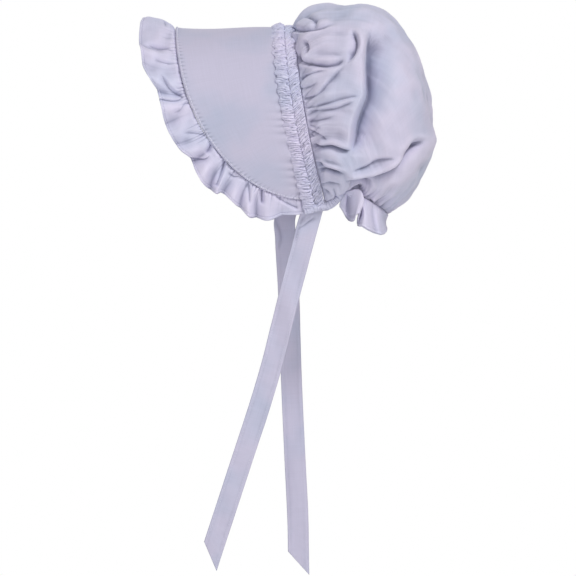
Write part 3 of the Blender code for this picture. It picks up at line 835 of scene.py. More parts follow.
def makeRuchingTree():
    numbers = ("Pitch", "Height", "Slant", "Wander", "Plain", "Depth")
    tree, given, result = newTree("ruching across a column", "Column", numbers, "Ruched")

    def reckon(operation, first, second=None):
        made = node(tree, "ShaderNodeMath", operation=operation)
        for socket, value in zip(made.inputs, (first, second)):
            if isinstance(value, (int, float)):
                socket.default_value = value
            elif value is not None:
                tree.links.new(value, socket)
        return made.outputs[0]

    def attribute(name):
        made = node(tree, "GeometryNodeInputNamedAttribute", data_type="FLOAT", Name=name)
        return made.outputs["Attribute"]

    along, across = attribute("along"), attribute("across")
    slanted = reckon("ADD", along, reckon("MULTIPLY", across, given.outputs["Slant"]))
    ribPlace = reckon("DIVIDE", slanted, given.outputs["Pitch"])
    where = tree.nodes.new("ShaderNodeCombineXYZ")
    tree.links.new(ribPlace, where.inputs["X"])
    tree.links.new(reckon("MULTIPLY", across, 1.6), where.inputs["Y"])
    stray = node(tree, "ShaderNodeTexNoise", Scale=0.60, Detail=3.0)
    uneven = node(tree, "ShaderNodeTexNoise", Scale=0.9, Detail=1.0)
    straying = reckon("MULTIPLY", reckon("SUBTRACT", stray.outputs["Fac"], 0.5), given.outputs["Wander"])
    turn = reckon("MULTIPLY", reckon("ADD", ribPlace, straying), math.pi)
    ridge = reckon("POWER", reckon("ABSOLUTE", reckon("SINE", turn)), 0.6)
    height = reckon("MULTIPLY", given.outputs["Height"], reckon("MULTIPLY", uneven.outputs["Fac"], 2.0))
    bow = reckon("POWER", reckon("SINE", reckon("MULTIPLY", across, math.pi)), 0.4)
    bow = reckon("ADD", reckon("MULTIPLY", bow, 0.7), 0.3)
    frontShare = reckon("SUBTRACT", 1.0, reckon("MULTIPLY", across, 1.8))
    plain = reckon("MULTIPLY", given.outputs["Plain"], frontShare)
    kept = reckon("SUBTRACT", 1.0, reckon("MAXIMUM", plain, 0.0))
    lift = reckon("MULTIPLY", reckon("MULTIPLY", ridge, height), reckon("MULTIPLY", bow, kept))
    # painted shade between the ribs and painted highlight on them, stored in the painted shading attribute
    shade = reckon("MULTIPLY", kept, given.outputs["Depth"])
    paintedRibShade = reckon("MULTIPLY", reckon("SUBTRACT", 0.55, ridge), shade)
    normal = tree.nodes.new("GeometryNodeInputNormal")
    shift = node(tree, "ShaderNodeVectorMath", operation="SCALE")
    place = tree.nodes.new("GeometryNodeSetPosition")
    mark = node(tree, "GeometryNodeStoreNamedAttribute", data_type="FLOAT", domain="POINT", Name="paintedShading")
    markValue = [socket for socket in mark.inputs if socket.type == "VALUE" and socket.enabled][0]
    tree.links.new(lift, shift.inputs["Scale"])
    tree.links.new(paintedRibShade, markValue)
    real = tree.nodes.new("GeometryNodeRealizeInstances")
    finish = tree.nodes.new("GeometryNodeSetMaterial")
    link(
        tree,
        (given, "Seed", where, "Z"),
        (where, "Vector", stray, "Vector"),
        (where, "Vector", uneven, "Vector"),
        (normal, "Normal", shift, 0),
        (given, "Column", place, "Geometry"),
        (shift, "Vector", place, "Offset"),
        (place, "Geometry", mark, "Geometry"),
        (mark, "Geometry", real, "Geometry"),
        (real, "Geometry", finish, "Geometry"),
        (given, "Material", finish, "Material"),
        (finish, "Geometry", result, "Ruched"),
    )
    return tree


ruchingTree = makeRuchingTree()


def ruchedColumn(name, front, back, cuts, look):
    # a column between two lines of the band; cuts shorten its front and rear edge at the lower ends
    parts = np.linspace(0.0, 1.0, band["rows"])
    frontWave, backWave = (
        swell(bandLengths[:, None], (height, size, look["seed"] + step))
        for height, size, step in zip(look["wavy"], band["edgeWaveSizes"], (1, 2))
    )
    narrow = 1.0 - band["endShare"] * smoothStep((np.abs(bandLengths) - halfBand) / band["endTaper"] + 1.0)
    rows = []
    for part in parts:
        kept = 1.0 - (cuts[0] + (cuts[1] - cuts[0]) * part) / halfBand
        y, z = archAt(bandLengths * kept)
        reach = (front + (back - front) * part) * np.where(back > 0, narrow, 1.0)
        x = bandX(reach, z) + frontWave * (1 - part) ** 2 + backWave * part**2
        rows.append(np.stack((x, y, z), axis=-1))
    bow = np.sin(math.pi * np.clip(0.06 + 0.84 * parts, 0.0, 1.0)) ** 0.5
    uneven = 1.0 + swell(bandLengths[:, None], (*band["puffShare"], look["seed"] + 3))
    height = band["wall"] + bow[:, None] * look["puff"] * uneven
    obj = clothMesh(name, lifted(np.array(rows), height), bandCotton)
    alongAndAcross = np.tile(bandLengths, band["rows"]), np.repeat(parts, len(bandLengths))
    for label, values in zip(("along", "across"), alongAndAcross):
        obj.data.attributes.new(label, "FLOAT", "POINT").data.foreach_set("value", values)
    modifier = obj.modifiers.new("Ruching", "NODES")
    modifier.node_group = ruchingTree
    sizes = {"Pitch": band["pitch"], "Height": band["ribHeight"], "Depth": band["paintedRibShadeGain"]}
    sizes.update({"Slant": look["slant"], "Wander": band["ribWander"], "Plain": look["plain"]})
    setInputs(modifier, {**sizes, "Seed": look["seed"], "Material": bandCotton})
    return addWall(baked(obj), band["wall"])


headingFront = -faceArch["headingWidth"] - band["overlap"]
headingRear = -faceArch["gap"]
bandHeading = ruchedColumn("bandHeading", headingFront, headingRear, band["endCuts"][:2], band["heading"])
bandCasing = ruchedColumn("bandCasing", 0.0, faceArch["casingWidth"], band["endCuts"][1:], band["casing"])
sewnOn(bandHeading, "band_front")
sewnOn(bandCasing, "band_back")


def bandLine(offset, height, cut):
    y, z = archAt(bandLengths[::3] * (1.0 - cut / halfBand))
    base = np.array([np.stack((bandX(offset + step, z), y, z), axis=-1) for step in (-0.001, 0.0, 0.001)])
    normals = gridNormals(base)[1]
    return base[1] + normals * height, normals


bandRows = [
    bandLine(-0.0006, band["wall"] + 0.0014, band["endCuts"][1]),
    bandLine(0.0008, band["wall"] + 0.0010, band["endCuts"][1]),
    bandLine(faceArch["casingWidth"] - 0.0008, band["wall"] + 0.0010, band["endCuts"][2]),
]
bandStitches = sewStitches("bandStitches", "band_back", bandRows, 13, pitch=0.0023, length=0.0015)
print("band made")

# Crown: a soft bag, gathered into the band and into the nape

crown = {
    "reach": 0.2010,
    "halfWidth": 0.094,
    "depth": 0.172,  # of its lower corners below the top
    "cornerRadius": 0.0012,
    "baseWall": 0.0012,
    "farColumns": 130,
    "nearColumns": 320,
    "rows": 218,
    "lobePitch": 0.0205,
    "lobeHeight": 0.0026,
    "lobeReach": (0.16, 0.09),  # from the band and from the nape, shares of the crown's reach
    "foldGain": 1.8,
    "foldSides": (2.6, 0.25),  # slope and start of the folds from the top's middle to the sides
    "plainEnds": (0.90, 0.17),  # share of the seam where lobes and gathers end, and over which they do
    "fullness": 2.6,  # 2 is an oval side, more is flatter with a rounder edge
    "gatherPitch": 0.0056,
    "gatherHeight": 0.0025,
    "gatherLength": 0.014,
    "gatherWander": (0.9, 0.035, 51),
    "gatherStrength": (0.5, 0.024, 52),
    "gatherReach": (0.5, 0.018, 53),
    # distances from the seams over which each relief starts
    "starts": {"seams": 0.003, "gathers": 0.002, "lobes": 0.006, "wrinkles": 0.004},
    "wrinklePitch": 0.0075,
    "wrinkleStretch": 0.22,  # of their shape along them, against across
    "wrinkleHeight": 0.0006,
    "wrinkleReach": 0.045,
    "swells": ((0.0008, 0.050, 54), (0.00035, 0.019, 55)),
    "cornerEase": 0.012,
    "napeRise": 0.020,
    # share of the nape seam from the back centre, share of the nape's rise
    "napeRises": (
        (0.00, 0.00), (0.30, 0.06), (0.56, 0.40), (0.70, 0.74), (0.76, 0.95), (0.80, 1.06),
        (0.84, 1.05), (0.88, 0.80), (0.92, 0.40), (0.96, 0.15), (1.00, 0.00),
    ),
    # degrees about the lower corner, then shares of reach, half width, where it is widest, and nape rise
    "sections": (
        (98.0, 0.917, 0.830, 0.51, 0.00),
        (95.5, 0.952, 0.880, 0.51, 0.00),
        (90.0, 0.982, 0.925, 0.51, 0.00),
        (83.5, 0.988, 0.955, 0.51, 0.00),
        (79.0, 1.008, 0.970, 0.51, 0.00),
        (73.5, 0.994, 0.990, 0.51, 0.00),
        (67.0, 0.952, 1.000, 0.51, 0.00),
        (60.0, 0.890, 1.000, 0.51, 0.00),
        (52.0, 0.806, 0.985, 0.50, 0.00),
        (44.0, 0.731, 0.960, 0.49, 0.00),
        (36.0, 0.660, 0.930, 0.48, 0.00),
        (28.5, 0.626, 0.900, 0.47, 0.00),
        (20.0, 0.546, 0.850, 0.46, 0.10),
        (10.0, 0.467, 0.790, 0.44, 0.30),
        (0.0, 0.383, 0.730, 0.42, 0.60),
        (-11.2, 0.302, 0.690, 0.40, 1.00),
    ),
    # millimetres right of and above the band's top, as seen from the side
    "folds": (
        fold([(17, 12), (24, 12.5), (29.5, 9.5), (30, 4), (23, -1)], 2.6, (2.0, 3.2)),
        fold(
            [(10, -1.5), (20, -2), (29.5, -0.5), (42, 3), (56, 8)],
            depth=3.8, widths=(1.6, 3.0), fade=(0, 0.7), roll=0.8, rollAt=6.0,
        ),
        fold([(17.5, -11), (22, -16), (22.5, -21), (18.5, -27)], 2.6, (3.0, 1.2)),
        fold(
            [(13.5, -29), (19, -34), (29, -36), (44.5, -37.3), (53, -35), (60, -29)],
            depth=3.2, widths=(2.0, 3.2), fade=(0, 0.2), roll=1.0, rollAt=6.0,
        ),
        fold(
            [(66, -1), (71, -8), (72.5, -17), (69, -26), (61, -36)],
            depth=4.4, widths=(6.0, 1.3), roll=1.4, rollAt=4.5,
        ),
        fold([(14, -50), (24, -45.5), (34, -42.5), (45, -41)], 2.0, (3.0, 1.2), fade=(0, 0.4)),
        fold([(19, -70), (34, -65), (41.5, -56), (52, -44.5), (61, -35)], 2.3, (4.5, 1.6), fade=(0, 0.3)),
        fold([(16, -60), (26, -57), (34, -52)], 1.3, (2.6, 1.2), fade=(0, 0.4)),
        fold([(24, -79), (41, -75), (55, -71), (80, -66)], 2.0, (1.8, 5.0), fade=(0, 0.25)),
        fold([(26, -82), (56, -78), (66, -74), (76, -69)], 1.7, (3.5, 1.3), fade=(0, 0.3)),
        fold([(24, -93), (40, -90), (58, -84)], 1.2, (4.0, 2.0), fade=(0, 0.5)),
        fold(
            [
                (86, 2), (84, -14), (82, -31), (82, -52), (81.5, -66), (75, -82), (70, -97), (68, -113),
                (66, -128),
            ],
            depth=7.5, widths=(2.6, 16.0), fade=(0.15, 0.12),
        ),
        fold(
            [(88, 6), (86, -14), (84, -31), (83.5, -52), (83, -66), (77, -82), (72, -97), (69, -122)],
            depth=5.4, widths=(3.2, 19.0), fade=(0.15, 0.15), soft=True,
        ),
        fold([(102, 12), (98, -14), (91, -44), (84, -76)], 2.8, (13.0, 16.0), fade=(0.3, 0.6), soft=True),
        fold([(22, -99), (32, -105), (43, -113)], 1.9, (2.2, 1.0), fade=(0, 0.4)),
        fold([(22, -104), (31, -108)], 2.0, (1.3, 1.3), fade=(0, 0.5)),
        fold([(22, -96), (30, -98), (38, -101)], 1.2, (1.4, 1.4), fade=(0, 0.5)),
        fold(
            [(22, -114.5), (35, -117.5), (46, -117), (58, -121), (68, -122)],
            depth=4.2, widths=(3.6, 1.2), fade=(0, 0.25), roll=1.2, rollAt=4.0,
        ),
        fold(
            [(26, -131), (36, -131.5), (42, -135), (53, -139), (66, -144)],
            depth=-1.6, widths=(2.0, 2.4), fade=(0, 0.3), soft=True,
        ),
        fold([(26, -136), (34, -137), (40, -139)], 1.6, (1.3, 1.3), fade=(0, 0.4)),
        fold([(27, -141), (40, -140), (48.5, -142), (60, -145)], 3.2, (3.0, 1.2), fade=(0, 0.3)),
        fold([(64, -144), (82, -138), (92, -132), (102, -130), (117, -131)], 2.0, (5.0, 1.4)),
        fold(
            [
                (59, -153), (84, -150), (98.5, -146), (107.5, -141), (117, -134), (124.5, -125),
                (131, -119), (137.5, -113), (146, -108),
            ],
            depth=4.8, widths=(6.5, 1.5), fade=(0.1, 0.2), roll=1.8, rollAt=4.5,
        ),
        fold([(64, -155), (76, -157), (90, -155)], 6.0, (5.0, 4.0), soft=True),
        fold(
            [(108, -136), (121, -125), (131, -116), (142, -110)],
            depth=5.0, widths=(5.5, 4.5), fade=(0.5, 0.3), soft=True,
        ),
        fold([(126, -120), (133, -114), (141, -110)], 3.0, (3.5, 2.5), fade=(0.4, 0.4)),
        fold([(28, -129), (35.5, -137.5), (46.5, -142.5), (58, -144)], 2.0, (1.6, 3.0), fade=(0, 0.3)),
        fold([(33, -155), (46, -154), (58, -156)], 1.3, (2.4, 1.0), fade=(0, 0.4)),
        fold([(31, -159), (38, -161), (47, -166)], 1.6, (1.4, 2.0), fade=(0, 0.4)),
        fold([(38, -162), (42, -171)], 1.6, (1.4, 1.4), fade=(0.2, 0)),
        fold([(47, -158), (51, -168)], 1.2, (1.4, 1.8), fade=(0.3, 0)),
        fold([(86, -168), (88, -188)], 3.2, (4.5, 1.6), fade=(0.2, 0)),
    ),
}
cornerY = float(np.interp(crown["depth"] - crown["cornerRadius"], archDepth, archHalfWidth))
crownSeam = faceArch["casingWidth"] + faceArch["gap"]
cornerX = float(bandX(crownSeam, np.array(crown["cornerRadius"] - crown["depth"])))


def crownSection(section, shares):
    # distance from the corner and y along one section, in its own plane
    reach = section[1] * crown["reach"]
    halfWidth = max(section[2] * crown["halfWidth"], cornerY + faceArch["gap"])
    widest = section[3] * reach
    power = 2.0 / crown["fullness"]
    endTurn = math.pi - math.asin((cornerY / halfWidth) ** (1.0 / power))
    lower = (widest - crown["cornerRadius"]) / (-math.cos(endTurn)) ** power
    turn = np.linspace(0.0, endTurn, faceArch["steps"])
    ahead = np.sign(np.cos(turn)) * np.abs(np.cos(turn)) ** power
    distance = widest + np.where(turn < math.pi / 2, reach - widest, lower) * ahead
    y = halfWidth * np.sin(turn) ** power
    run = runLengths(distance, y)
    wanted = np.abs(shares) * run[-1]
    return np.interp(wanted, run, distance), np.sign(shares) * np.interp(wanted, run, y)


def crownBase(shares):
    seamLength = shares * lengthAtDepth(crown["depth"] - crown["cornerRadius"])
    y, z = archAt(seamLength)
    seamX = bandX(crownSeam, z)
    rows = [np.stack((seamX, y, z + crown["baseWall"]), axis=-1)]
    for section in crown["sections"]:
        distance, y = crownSection(section, shares)
        angle = math.radians(section[0])
        rise = crown["napeRise"] * section[4] * softTable(shares, crown["napeRises"], 1)
        z = distance * math.sin(angle) - crown["depth"] + rise
        rows.append(np.stack((cornerX + distance * math.cos(angle), y, z), axis=-1))
    return np.array(rows)


def crownGrid():
    shares = unevenShares(crown["farColumns"], crown["nearColumns"], 0.92)
    rough = crownBase(shares)
    run = np.mean([runLengths(*rough[:, column].T) for column in range(0, len(shares), 8)], axis=0)
    parts = np.linspace(0.0, 1.0, crown["rows"])
    wanted = np.interp(parts, (0.0, 0.12, 0.6, 1.0), (0.0, 0.06, 0.46, 1.0)) * run[-1]
    base = smoothAlong(wanted, run, rough)
    fromBand = np.linalg.norm(base - base[0], axis=-1)
    fromNape = np.linalg.norm(base - base[-1], axis=-1)
    lobes = 2.0 * lengthAtDepth(crown["depth"]) / crown["lobePitch"]
    wave = np.cos(math.pi * lobes * shares + 1.3 * np.sin(5.0 * shares))
    starts = crown["starts"]
    bandReach, napeReach = crown["lobeReach"]
    nearBand = smoothStep(fromBand / starts["lobes"]) * np.exp(-fromBand / (crown["reach"] * bandReach))
    nearNape = smoothStep(fromNape / starts["lobes"]) * np.exp(-fromNape / (crown["reach"] * napeReach))
    shortOfCorner = smoothStep((crown["plainEnds"][0] - np.abs(shares)) / crown["plainEnds"][1])
    relief = crown["lobeHeight"] * shortOfCorner * wave * (nearBand + nearNape)
    # fine gathers along both seams, of uneven pitch, height and length
    seam = shares * lengthAtDepth(crown["depth"])
    wander = swell(seam[:, None], crown["gatherWander"])
    pull = np.clip(0.75 + swell(seam[:, None], crown["gatherStrength"]), 0.1, 1.6)
    gather = gathered(seam, crown["gatherPitch"], wander, 0.7) - 0.6
    reachOut = crown["gatherLength"] * unevenReach(seam, crown["gatherReach"])
    atSeams = smoothStep(fromBand / starts["gathers"]) * np.exp(-fromBand / reachOut)
    atSeams += smoothStep(fromNape / starts["gathers"]) * np.exp(-fromNape / (0.8 * reachOut))
    relief += crown["gatherHeight"] * shortOfCorner * pull * gather * atSeams
    # finer wrinkles that run out from the band
    alongSeam = np.broadcast_to(seam, fromBand.shape)
    wrinklePlace = np.stack((alongSeam, crown["wrinkleStretch"] * fromBand), axis=-1)
    wrinkles = ripples(wrinklePlace, crown["wrinklePitch"], 56) * smoothStep(fromBand / starts["wrinkles"])
    relief += crown["wrinkleHeight"] * wrinkles * np.exp(-fromBand / crown["wrinkleReach"])
    # folds, on the sides only
    slope, start = crown["foldSides"]
    side = smoothStep(np.abs(base[..., 1]) / crown["halfWidth"] * slope - start)
    far = (base[..., 1] > 0).astype(float)
    sideX, sideZ = farWarp(base[..., 0] * 1000.0, base[..., 2] * 1000.0, far)
    relief += crown["foldGain"] * side * foldRelief(sideX, sideZ, crown["folds"])
    for settings in crown["swells"]:
        relief += swell(base, settings)
    corner = np.hypot(base[..., 0] - cornerX, base[..., 2] + crown["depth"])
    seams = smoothStep(fromBand / starts["seams"]) * smoothStep(fromNape / starts["seams"])
    return lifted(base, relief * smoothStep(corner / crown["cornerEase"]) * seams)


crownBag = makePiece("crownBag", "crown", crownGrid(), crownCotton, (0.003, 0.009, 0.022), 1.8)
print("crown made")

# Nape: elastic casing and frill along the crown's lower edge

nape = {
    "casingWidth": 0.0078,
    "casingPuff": 0.0014,
    "casingWall": 0.0012,
    # on over the band's lower ends: x, outwards and z from the crown's corners
    "runOn": ((-0.0225, 0.0006, -0.0052), (-0.0140, 0.0008, -0.0026), (-0.0060, 0.0006, -0.0006)),
    "ribPitch": 0.0030,
    "ribHeight": 0.0014,
    "ribWander": (0.8, 0.02, 61),
    "columns": 760,
    "casingRows": 10,
    "runOnColumns": 40,  # more of them at each end
    "frillWall": 0.0009,
    "frillRows": 26,
    "gathers": 0.0010,
    "gatherPitch": 0.0042,
    "gatherWander": (0.8, 0.03, 63),
    "hem": 0.0022,
    "hemHeight": 0.0004,
    "hemEase": 0.0006,
    "overCasing": (0.70, 0.08),  # share of the seam where the frill starts over the casing, then below it
    # share of the nape seam from the back centre, then side-view x and z of the frill's middle and hem
    # in millimetres from the band's top, and how far both stand out
    "frill": (
        (0.00, 101.5, -191.0, 102.5, -199.0, 1.0, 1.5),
        (0.30, 99.5, -190.0, 101.0, -202.5, 1.0, 1.5),
        (0.44, 95.5, -189.0, 98.5, -204.5, 4.0, 6.0),
        (0.52, 92.5, -187.5, 95.5, -204.5, 4.5, 6.5),
        (0.58, 87.0, -184.5, 90.5, -203.0, -0.5, 1.5),
        (0.63, 83.5, -183.5, 86.0, -201.0, 3.5, 6.0),
        (0.70, 79.0, -180.0, 78.0, -196.5, 4.5, 6.5),
        (0.745, 76.0, -175.0, 73.0, -193.0, 0.0, 0.5),
        (0.765, 78.0, -168.0, 74.0, -184.0, 9.5, 9.0),
        (0.785, 75.5, -161.0, 71.0, -186.0, 10.5, 9.5),
        (0.81, 69.5, -163.5, 69.0, -191.0, 6.0, 4.0),
        (0.84, 63.0, -170.0, 63.5, -189.5, -2.5, -2.0),
        (0.87, 60.5, -173.0, 58.5, -181.0, -1.0, 0.0),
        (0.89, 56.5, -170.0, 55.0, -176.0, 0.0, 0.0),
    ),
}


def napeLine(columns, runOn=()):
    shares = unevenShares(columns // 2, columns // 2)
    line = crownBase(shares)[-1]
    if runOn:  # on forward over the band's lower ends
        more = nape["runOnColumns"]
        steps = np.linspace(0.0, len(runOn), more, endpoint=False)
        for end, side in ((line[0], 1.0), (line[-1], -1.0)):
            stops = end + np.array(runOn + ((0.0, 0.0, 0.0),)) * (1.0, side, 1.0)
            added = smoothAlong(steps, np.arange(len(stops)), stops)
            line = np.vstack((added, line)) if side > 0 else np.vstack((line, added[::-1]))
        shares = np.concatenate((np.full(more, 1.0), shares, np.full(more, -1.0)))
    along = np.gradient(line, axis=0)
    along /= np.linalg.norm(along, axis=-1, keepdims=True)
    outward = np.stack((-along[:, 1], along[:, 0], np.zeros(len(line))), axis=-1)
    outward /= np.linalg.norm(outward, axis=-1, keepdims=True)
    return shares, line, outward, np.cross(outward, along)


def napeCasingGrid():
    line, outward, down = napeLine(nape["columns"], nape["runOn"])[1:]
    run = runLengths(*line.T)
    wander = swell(run[:, None], nape["ribWander"])
    puff = nape["casingPuff"] + nape["ribHeight"] * gathered(run, nape["ribPitch"], wander, 0.75)
    rows = []
    for part in np.linspace(0.0, 1.0, nape["casingRows"]):
        bow = 0.2 + 0.8 * math.sin(math.pi * part)
        fall = faceArch["gap"] + nape["casingWidth"] * part
        rows.append(line + down * fall + outward * (bow * puff)[:, None])
    return np.array(rows)


def napeFrillGrid():
    shares, line, outward, down = napeLine(nape["columns"])
    kept = np.abs(shares) <= nape["frill"][-1][0]
    shares, line, outward, down = shares[kept], line[kept], outward[kept], down[kept]
    until, change = nape["overCasing"]
    below = smoothStep((np.abs(shares) - until) / change)[:, None]
    seam = line + down * (2.0 * faceArch["gap"] + nape["casingWidth"] * below)
    seam = seam + outward * (1.0 - below) * (nape["casingPuff"] + nape["ribHeight"] + nape["frillWall"])
    stops = [seam]
    for column, lift in ((1, 5), (3, 6)):
        stop = seam + outward * softTable(shares, nape["frill"], lift)[:, None] / 1000.0
        stop[:, 0] = softTable(shares, nape["frill"], column) / 1000.0
        stop[:, 2] = softTable(shares, nape["frill"], column + 1) / 1000.0
        stops.append(stop)
    parts = np.linspace(0.0, 1.0, nape["frillRows"])
    points = smoothAlong(parts, np.array((0.0, 0.45, 1.0)), np.array(stops))
    run = runLengths(*line.T)
    wander = swell(run[:, None], nape["gatherWander"])
    gather = gathered(run, nape["gatherPitch"], wander, 0.7)
    relief = nape["gathers"] * gather * (smoothStep(parts / 0.1) * np.exp(-parts * 3.0))[:, None]
    fromHem = np.linalg.norm(points - points[-1], axis=-1)
    relief += hemStep(fromHem, nape["hem"], nape["hemHeight"], nape["hemEase"])
    return lifted(points, relief)


napeCasingShape = napeCasingGrid()
napeCasing = makePiece(
    "napeCasing", "nape_casing", napeCasingShape, bandCotton, (0.0015, 0.004), 1.5, nape["casingWall"]
)
napeRows = [lineOn(napeCasingShape, rowPlace) for rowPlace in (1.5, 7.5)]
napeStitches = sewStitches("napeStitches", "nape_casing", napeRows, 14, pitch=0.0024)

napeFrillShape = napeFrillGrid()
napeFrill = makePiece(
    "napeFrill", "nape_ruffle", napeFrillShape, frillCotton, (0.002, 0.006), 1.5, nape["frillWall"]
)
frillLine = lineOn(napeFrillShape, nape["frillRows"] - 4.5)
frillStitches = sewStitches("frillStitches", "nape_ruffle", [frillLine], 15)
print("nape made")

# Ties: two long ribbons with sewn edges and a slanted end

ties = {
    "width": 0.0210,
    "length": 0.388,
    "point": 0.0240,  # how much longer one edge is than the other
    "wall": 0.0010,
    "rows": 300,
    "columns": 28,
    "hem": 0.0030,
    "hemHeight": 0.00035,
    "hemEase": 0.0008,
    "waveStart": (0.03, 0.05),  # length inside the band without waves, and over which they grow
    "foldStart": (0.016, 0.008),
    "swells": ((0.0008, 0.026), (0.00006, 0.012)),  # height and size, with the tie's seed and the next
    "swellStretch": 0.3,  # of the broad one's shape down the tie
    "edgeShade": (0.5, 0.0004),  # painted shade on the cut edges, and its width
    "stitchEnds": (30, -12),  # rows left free at the top and the point
    # millimetres right of and above the band's top, as seen from the side
    "folds": (
        fold([(37, -178), (30, -187), (20, -195), (11, -202)], 2.4, (1.3, 4.0), fade=(0, 0.3)),
        fold([(24, -180), (18, -190), (12, -206), (10, -218)], 1.6, (2.4, 1.8), soft=True),
        fold([(-14, -178), (-9, -192), (-4, -208), (-8, -226)], 1.2, (2.6, 2.0), soft=True),
    ),
    # shares of the length: forward, inward and down from the band's corner
    "left": (
        (0.005, 0.000, -0.039),
        (0.016, 0.000, 0.000),
        (0.035, 0.004, 0.070),
        (0.068, 0.010, 0.193),
        (0.123, 0.018, 0.410),
        (0.206, 0.018, 0.670),
        (0.266, 0.026, 0.853),
    ),
    "right": (
        (0.045, 0.000, -0.064),
        (0.083, 0.014, 0.006),
        (0.082, 0.020, 0.070),
        (0.075, 0.018, 0.193),
        (0.068, 0.020, 0.410),
        (0.060, 0.026, 0.595),
        (0.050, 0.024, 0.812),
        (0.049, 0.028, 0.874),
    ),
}


def tieGrid(stations, side, seed):
    startX = float(bandX(0.0, np.array(-faceArch["height"])))
    table = np.array(stations) * ties["length"]
    run = runLengths(table[:, 0], table[:, 2])
    wanted = np.linspace(0.0, run[-1], ties["rows"])
    forward, inward, down = smoothAlong(wanted, run, table).T
    x, z = startX - forward, -faceArch["height"] - down
    alongX, alongZ = unitAlong(x, z)
    columns = []
    for across in np.linspace(0.5, -0.5, ties["columns"]):
        shift = across * ties["width"]
        point = ties["point"] * (0.5 - across) * smoothStep((wanted / run[-1] - 0.9) / 0.1)
        columnX = x + shift * alongZ + point * alongX
        columnZ = z - shift * alongX + point * alongZ
        archY = archAt(lengthAtDepth(np.minimum(-columnZ, faceArch["height"])))[0]
        columns.append(np.stack((columnX, side * (archY - faceArch["gap"] - inward), columnZ), axis=-1))
    order = columns[::-1] if side < 0 else columns
    points = np.array(order).transpose(1, 0, 2)
    edge = ties["width"] * (0.5 - np.abs(np.linspace(-0.5, 0.5, ties["columns"])))
    hem = hemStep(edge, ties["hem"], ties["hemHeight"], ties["hemEase"])[None, :]
    growths = (ties["waveStart"], ties["foldStart"])
    waves, folded = (smoothStep((wanted - start) / grow)[:, None] for start, grow in growths)
    broad, fine = ties["swells"]
    soft = swell(points * (1.0, 1.0, ties["swellStretch"]), (*broad, seed))
    soft += swell(points, (*fine, seed + 1))
    folds = foldRelief(points[..., 0] * 1000.0, points[..., 2] * 1000.0, ties["folds"])
    shade, shadeWidth = ties["edgeShade"]
    edgeShade = np.broadcast_to(shade * (edge < shadeWidth), points.shape[:2])
    points = lifted(points, waves * (hem + soft) + folds * folded)
    return points, np.maximum(edgeShade, hollows(points, (0.002, 0.004), 1.2))


for tieName, nodeName, stations, side, seed in (
    ("leftTie", "tie_left", ties["left"], -1.0, 71),
    ("rightTie", "tie_right", ties["right"], 1.0, 81),
):
    shape, shade = tieGrid(stations, side, seed)
    tie = addWall(clothMesh(tieName, shape, tieCotton, shade), ties["wall"])
    sewnOn(tie, nodeName)
    inset = int(round(ties["hem"] / ties["width"] * (ties["columns"] - 1)))
    first, last = ties["stitchEnds"]
    seams = (inset, ties["columns"] - 1 - inset)
    tieRows = [lineOn(shape, column=column, first=first, last=last) for column in seams]
    stitches = sewStitches(tieName + "Stitches", nodeName, tieRows, seed, thread=0.0003)
print("ties made")

# Floor, light and camera

studio = {
    "floorHeight": -0.62,
    "floorSize": 2.6,
    "floorColour": (0.97, 0.97, 0.97, 1.0),
    "lens": 800.0,  # millimetres, from far away as the photograph
    "sensor": 36.0,
    "clip": (0.5, 60.0),
    "frameWidth": 0.576,  # of the picture at the bonnet's middle
    "middle": (0.0035, 0.0, -0.258),
    "surround": 0.36,
    # place, aim, size and power
    "lamps": {
        "keyLamp": ((1.3, -1.7, 2.1), (0.0, 0.0, -0.12), 0.5, 39.0),
        "fillLamp": ((-1.2, -2.2, 0.5), (0.0, 0.0, -0.15), 1.2, 7.0),
        "lowFillLamp": ((-1.0, -2.3, -0.8), (0.0, 0.0, -0.2), 1.2, 6.5),
        "lowLamp": ((1.3, -1.9, -0.7), (0.0, 0.0, -0.2), 1.0, 7.5),
        "backLamp": ((-0.6, 1.9, 0.9), (0.0, 0.0, -0.1), 1.4, 14.0),
    },
}


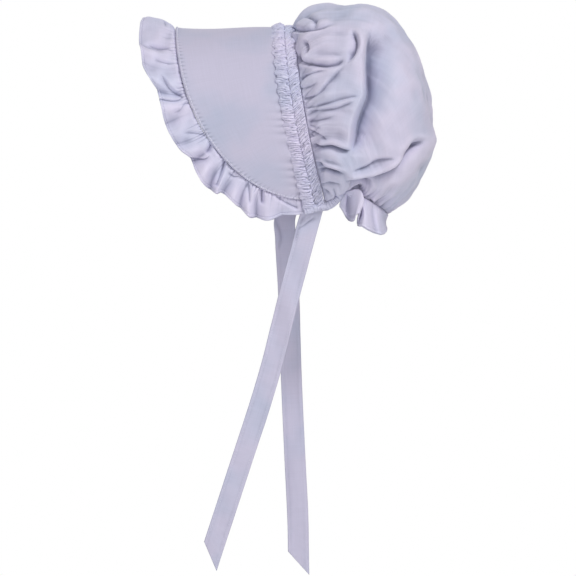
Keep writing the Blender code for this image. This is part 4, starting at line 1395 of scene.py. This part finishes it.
def makeFloor():
    half = studio["floorSize"] / 2.0
    mesh = bpy.data.meshes.new("floor")
    corners = [(x * half, y * half, studio["floorHeight"]) for x, y in ((-1, -1), (1, -1), (1, 1), (-1, 1))]
    mesh.from_pydata(corners, [], [(0, 1, 2, 3)])
    material, _, shader = newMaterial("paleFloor", 0.9)
    shader.inputs["Base Color"].default_value = studio["floorColour"]
    mesh.materials.append(material)
    floor = placed("floor", mesh)


def makeWorld():
    world = bpy.data.worlds.new("softSurround")
    world.use_nodes = True
    tree = world.node_tree
    tree.nodes.clear()
    lit = node(tree, "ShaderNodeBackground", Color=(0.97, 0.98, 1.0, 1.0), Strength=studio["surround"])
    seen = node(tree, "ShaderNodeBackground", Color=(1.0, 1.0, 1.0, 1.0), Strength=1.0)
    ray = node(tree, "ShaderNodeLightPath")
    choose = node(tree, "ShaderNodeMixShader")
    output = node(tree, "ShaderNodeOutputWorld")
    link(
        tree,
        (ray, "Is Camera Ray", choose, "Fac"),
        (lit, "Background", choose, 1),
        (seen, "Background", choose, 2),
        (choose, "Shader", output, "Surface"),
    )
    bpy.context.scene.world = world


def makeLamp(name, place, aim, size, power):
    lamp = bpy.data.lights.new(name, "AREA")
    lamp.size = size
    lamp.energy = power
    obj = placed(name, lamp)
    obj.location = place
    direction = Vector(aim) - Vector(place)
    obj.rotation_euler = direction.to_track_quat("-Z", "Y").to_euler()


def makeCamera():
    camera = bpy.data.cameras.new("camera")
    camera.lens = studio["lens"]
    camera.sensor_width = studio["sensor"]
    camera.clip_start, camera.clip_end = studio["clip"]
    distance = studio["frameWidth"] * studio["lens"] / studio["sensor"]
    obj = placed("camera", camera)
    obj.location = (studio["middle"][0], studio["middle"][1] - distance, studio["middle"][2])
    obj.rotation_euler = (math.pi / 2, 0.0, 0.0)
    bpy.context.scene.camera = obj


makeFloor()
makeWorld()
for lampName, settings in studio["lamps"].items():
    makeLamp(lampName, *settings)
makeCamera()
bpy.context.scene.view_settings.view_transform = "Standard"
print("stage, lamps and camera ready")
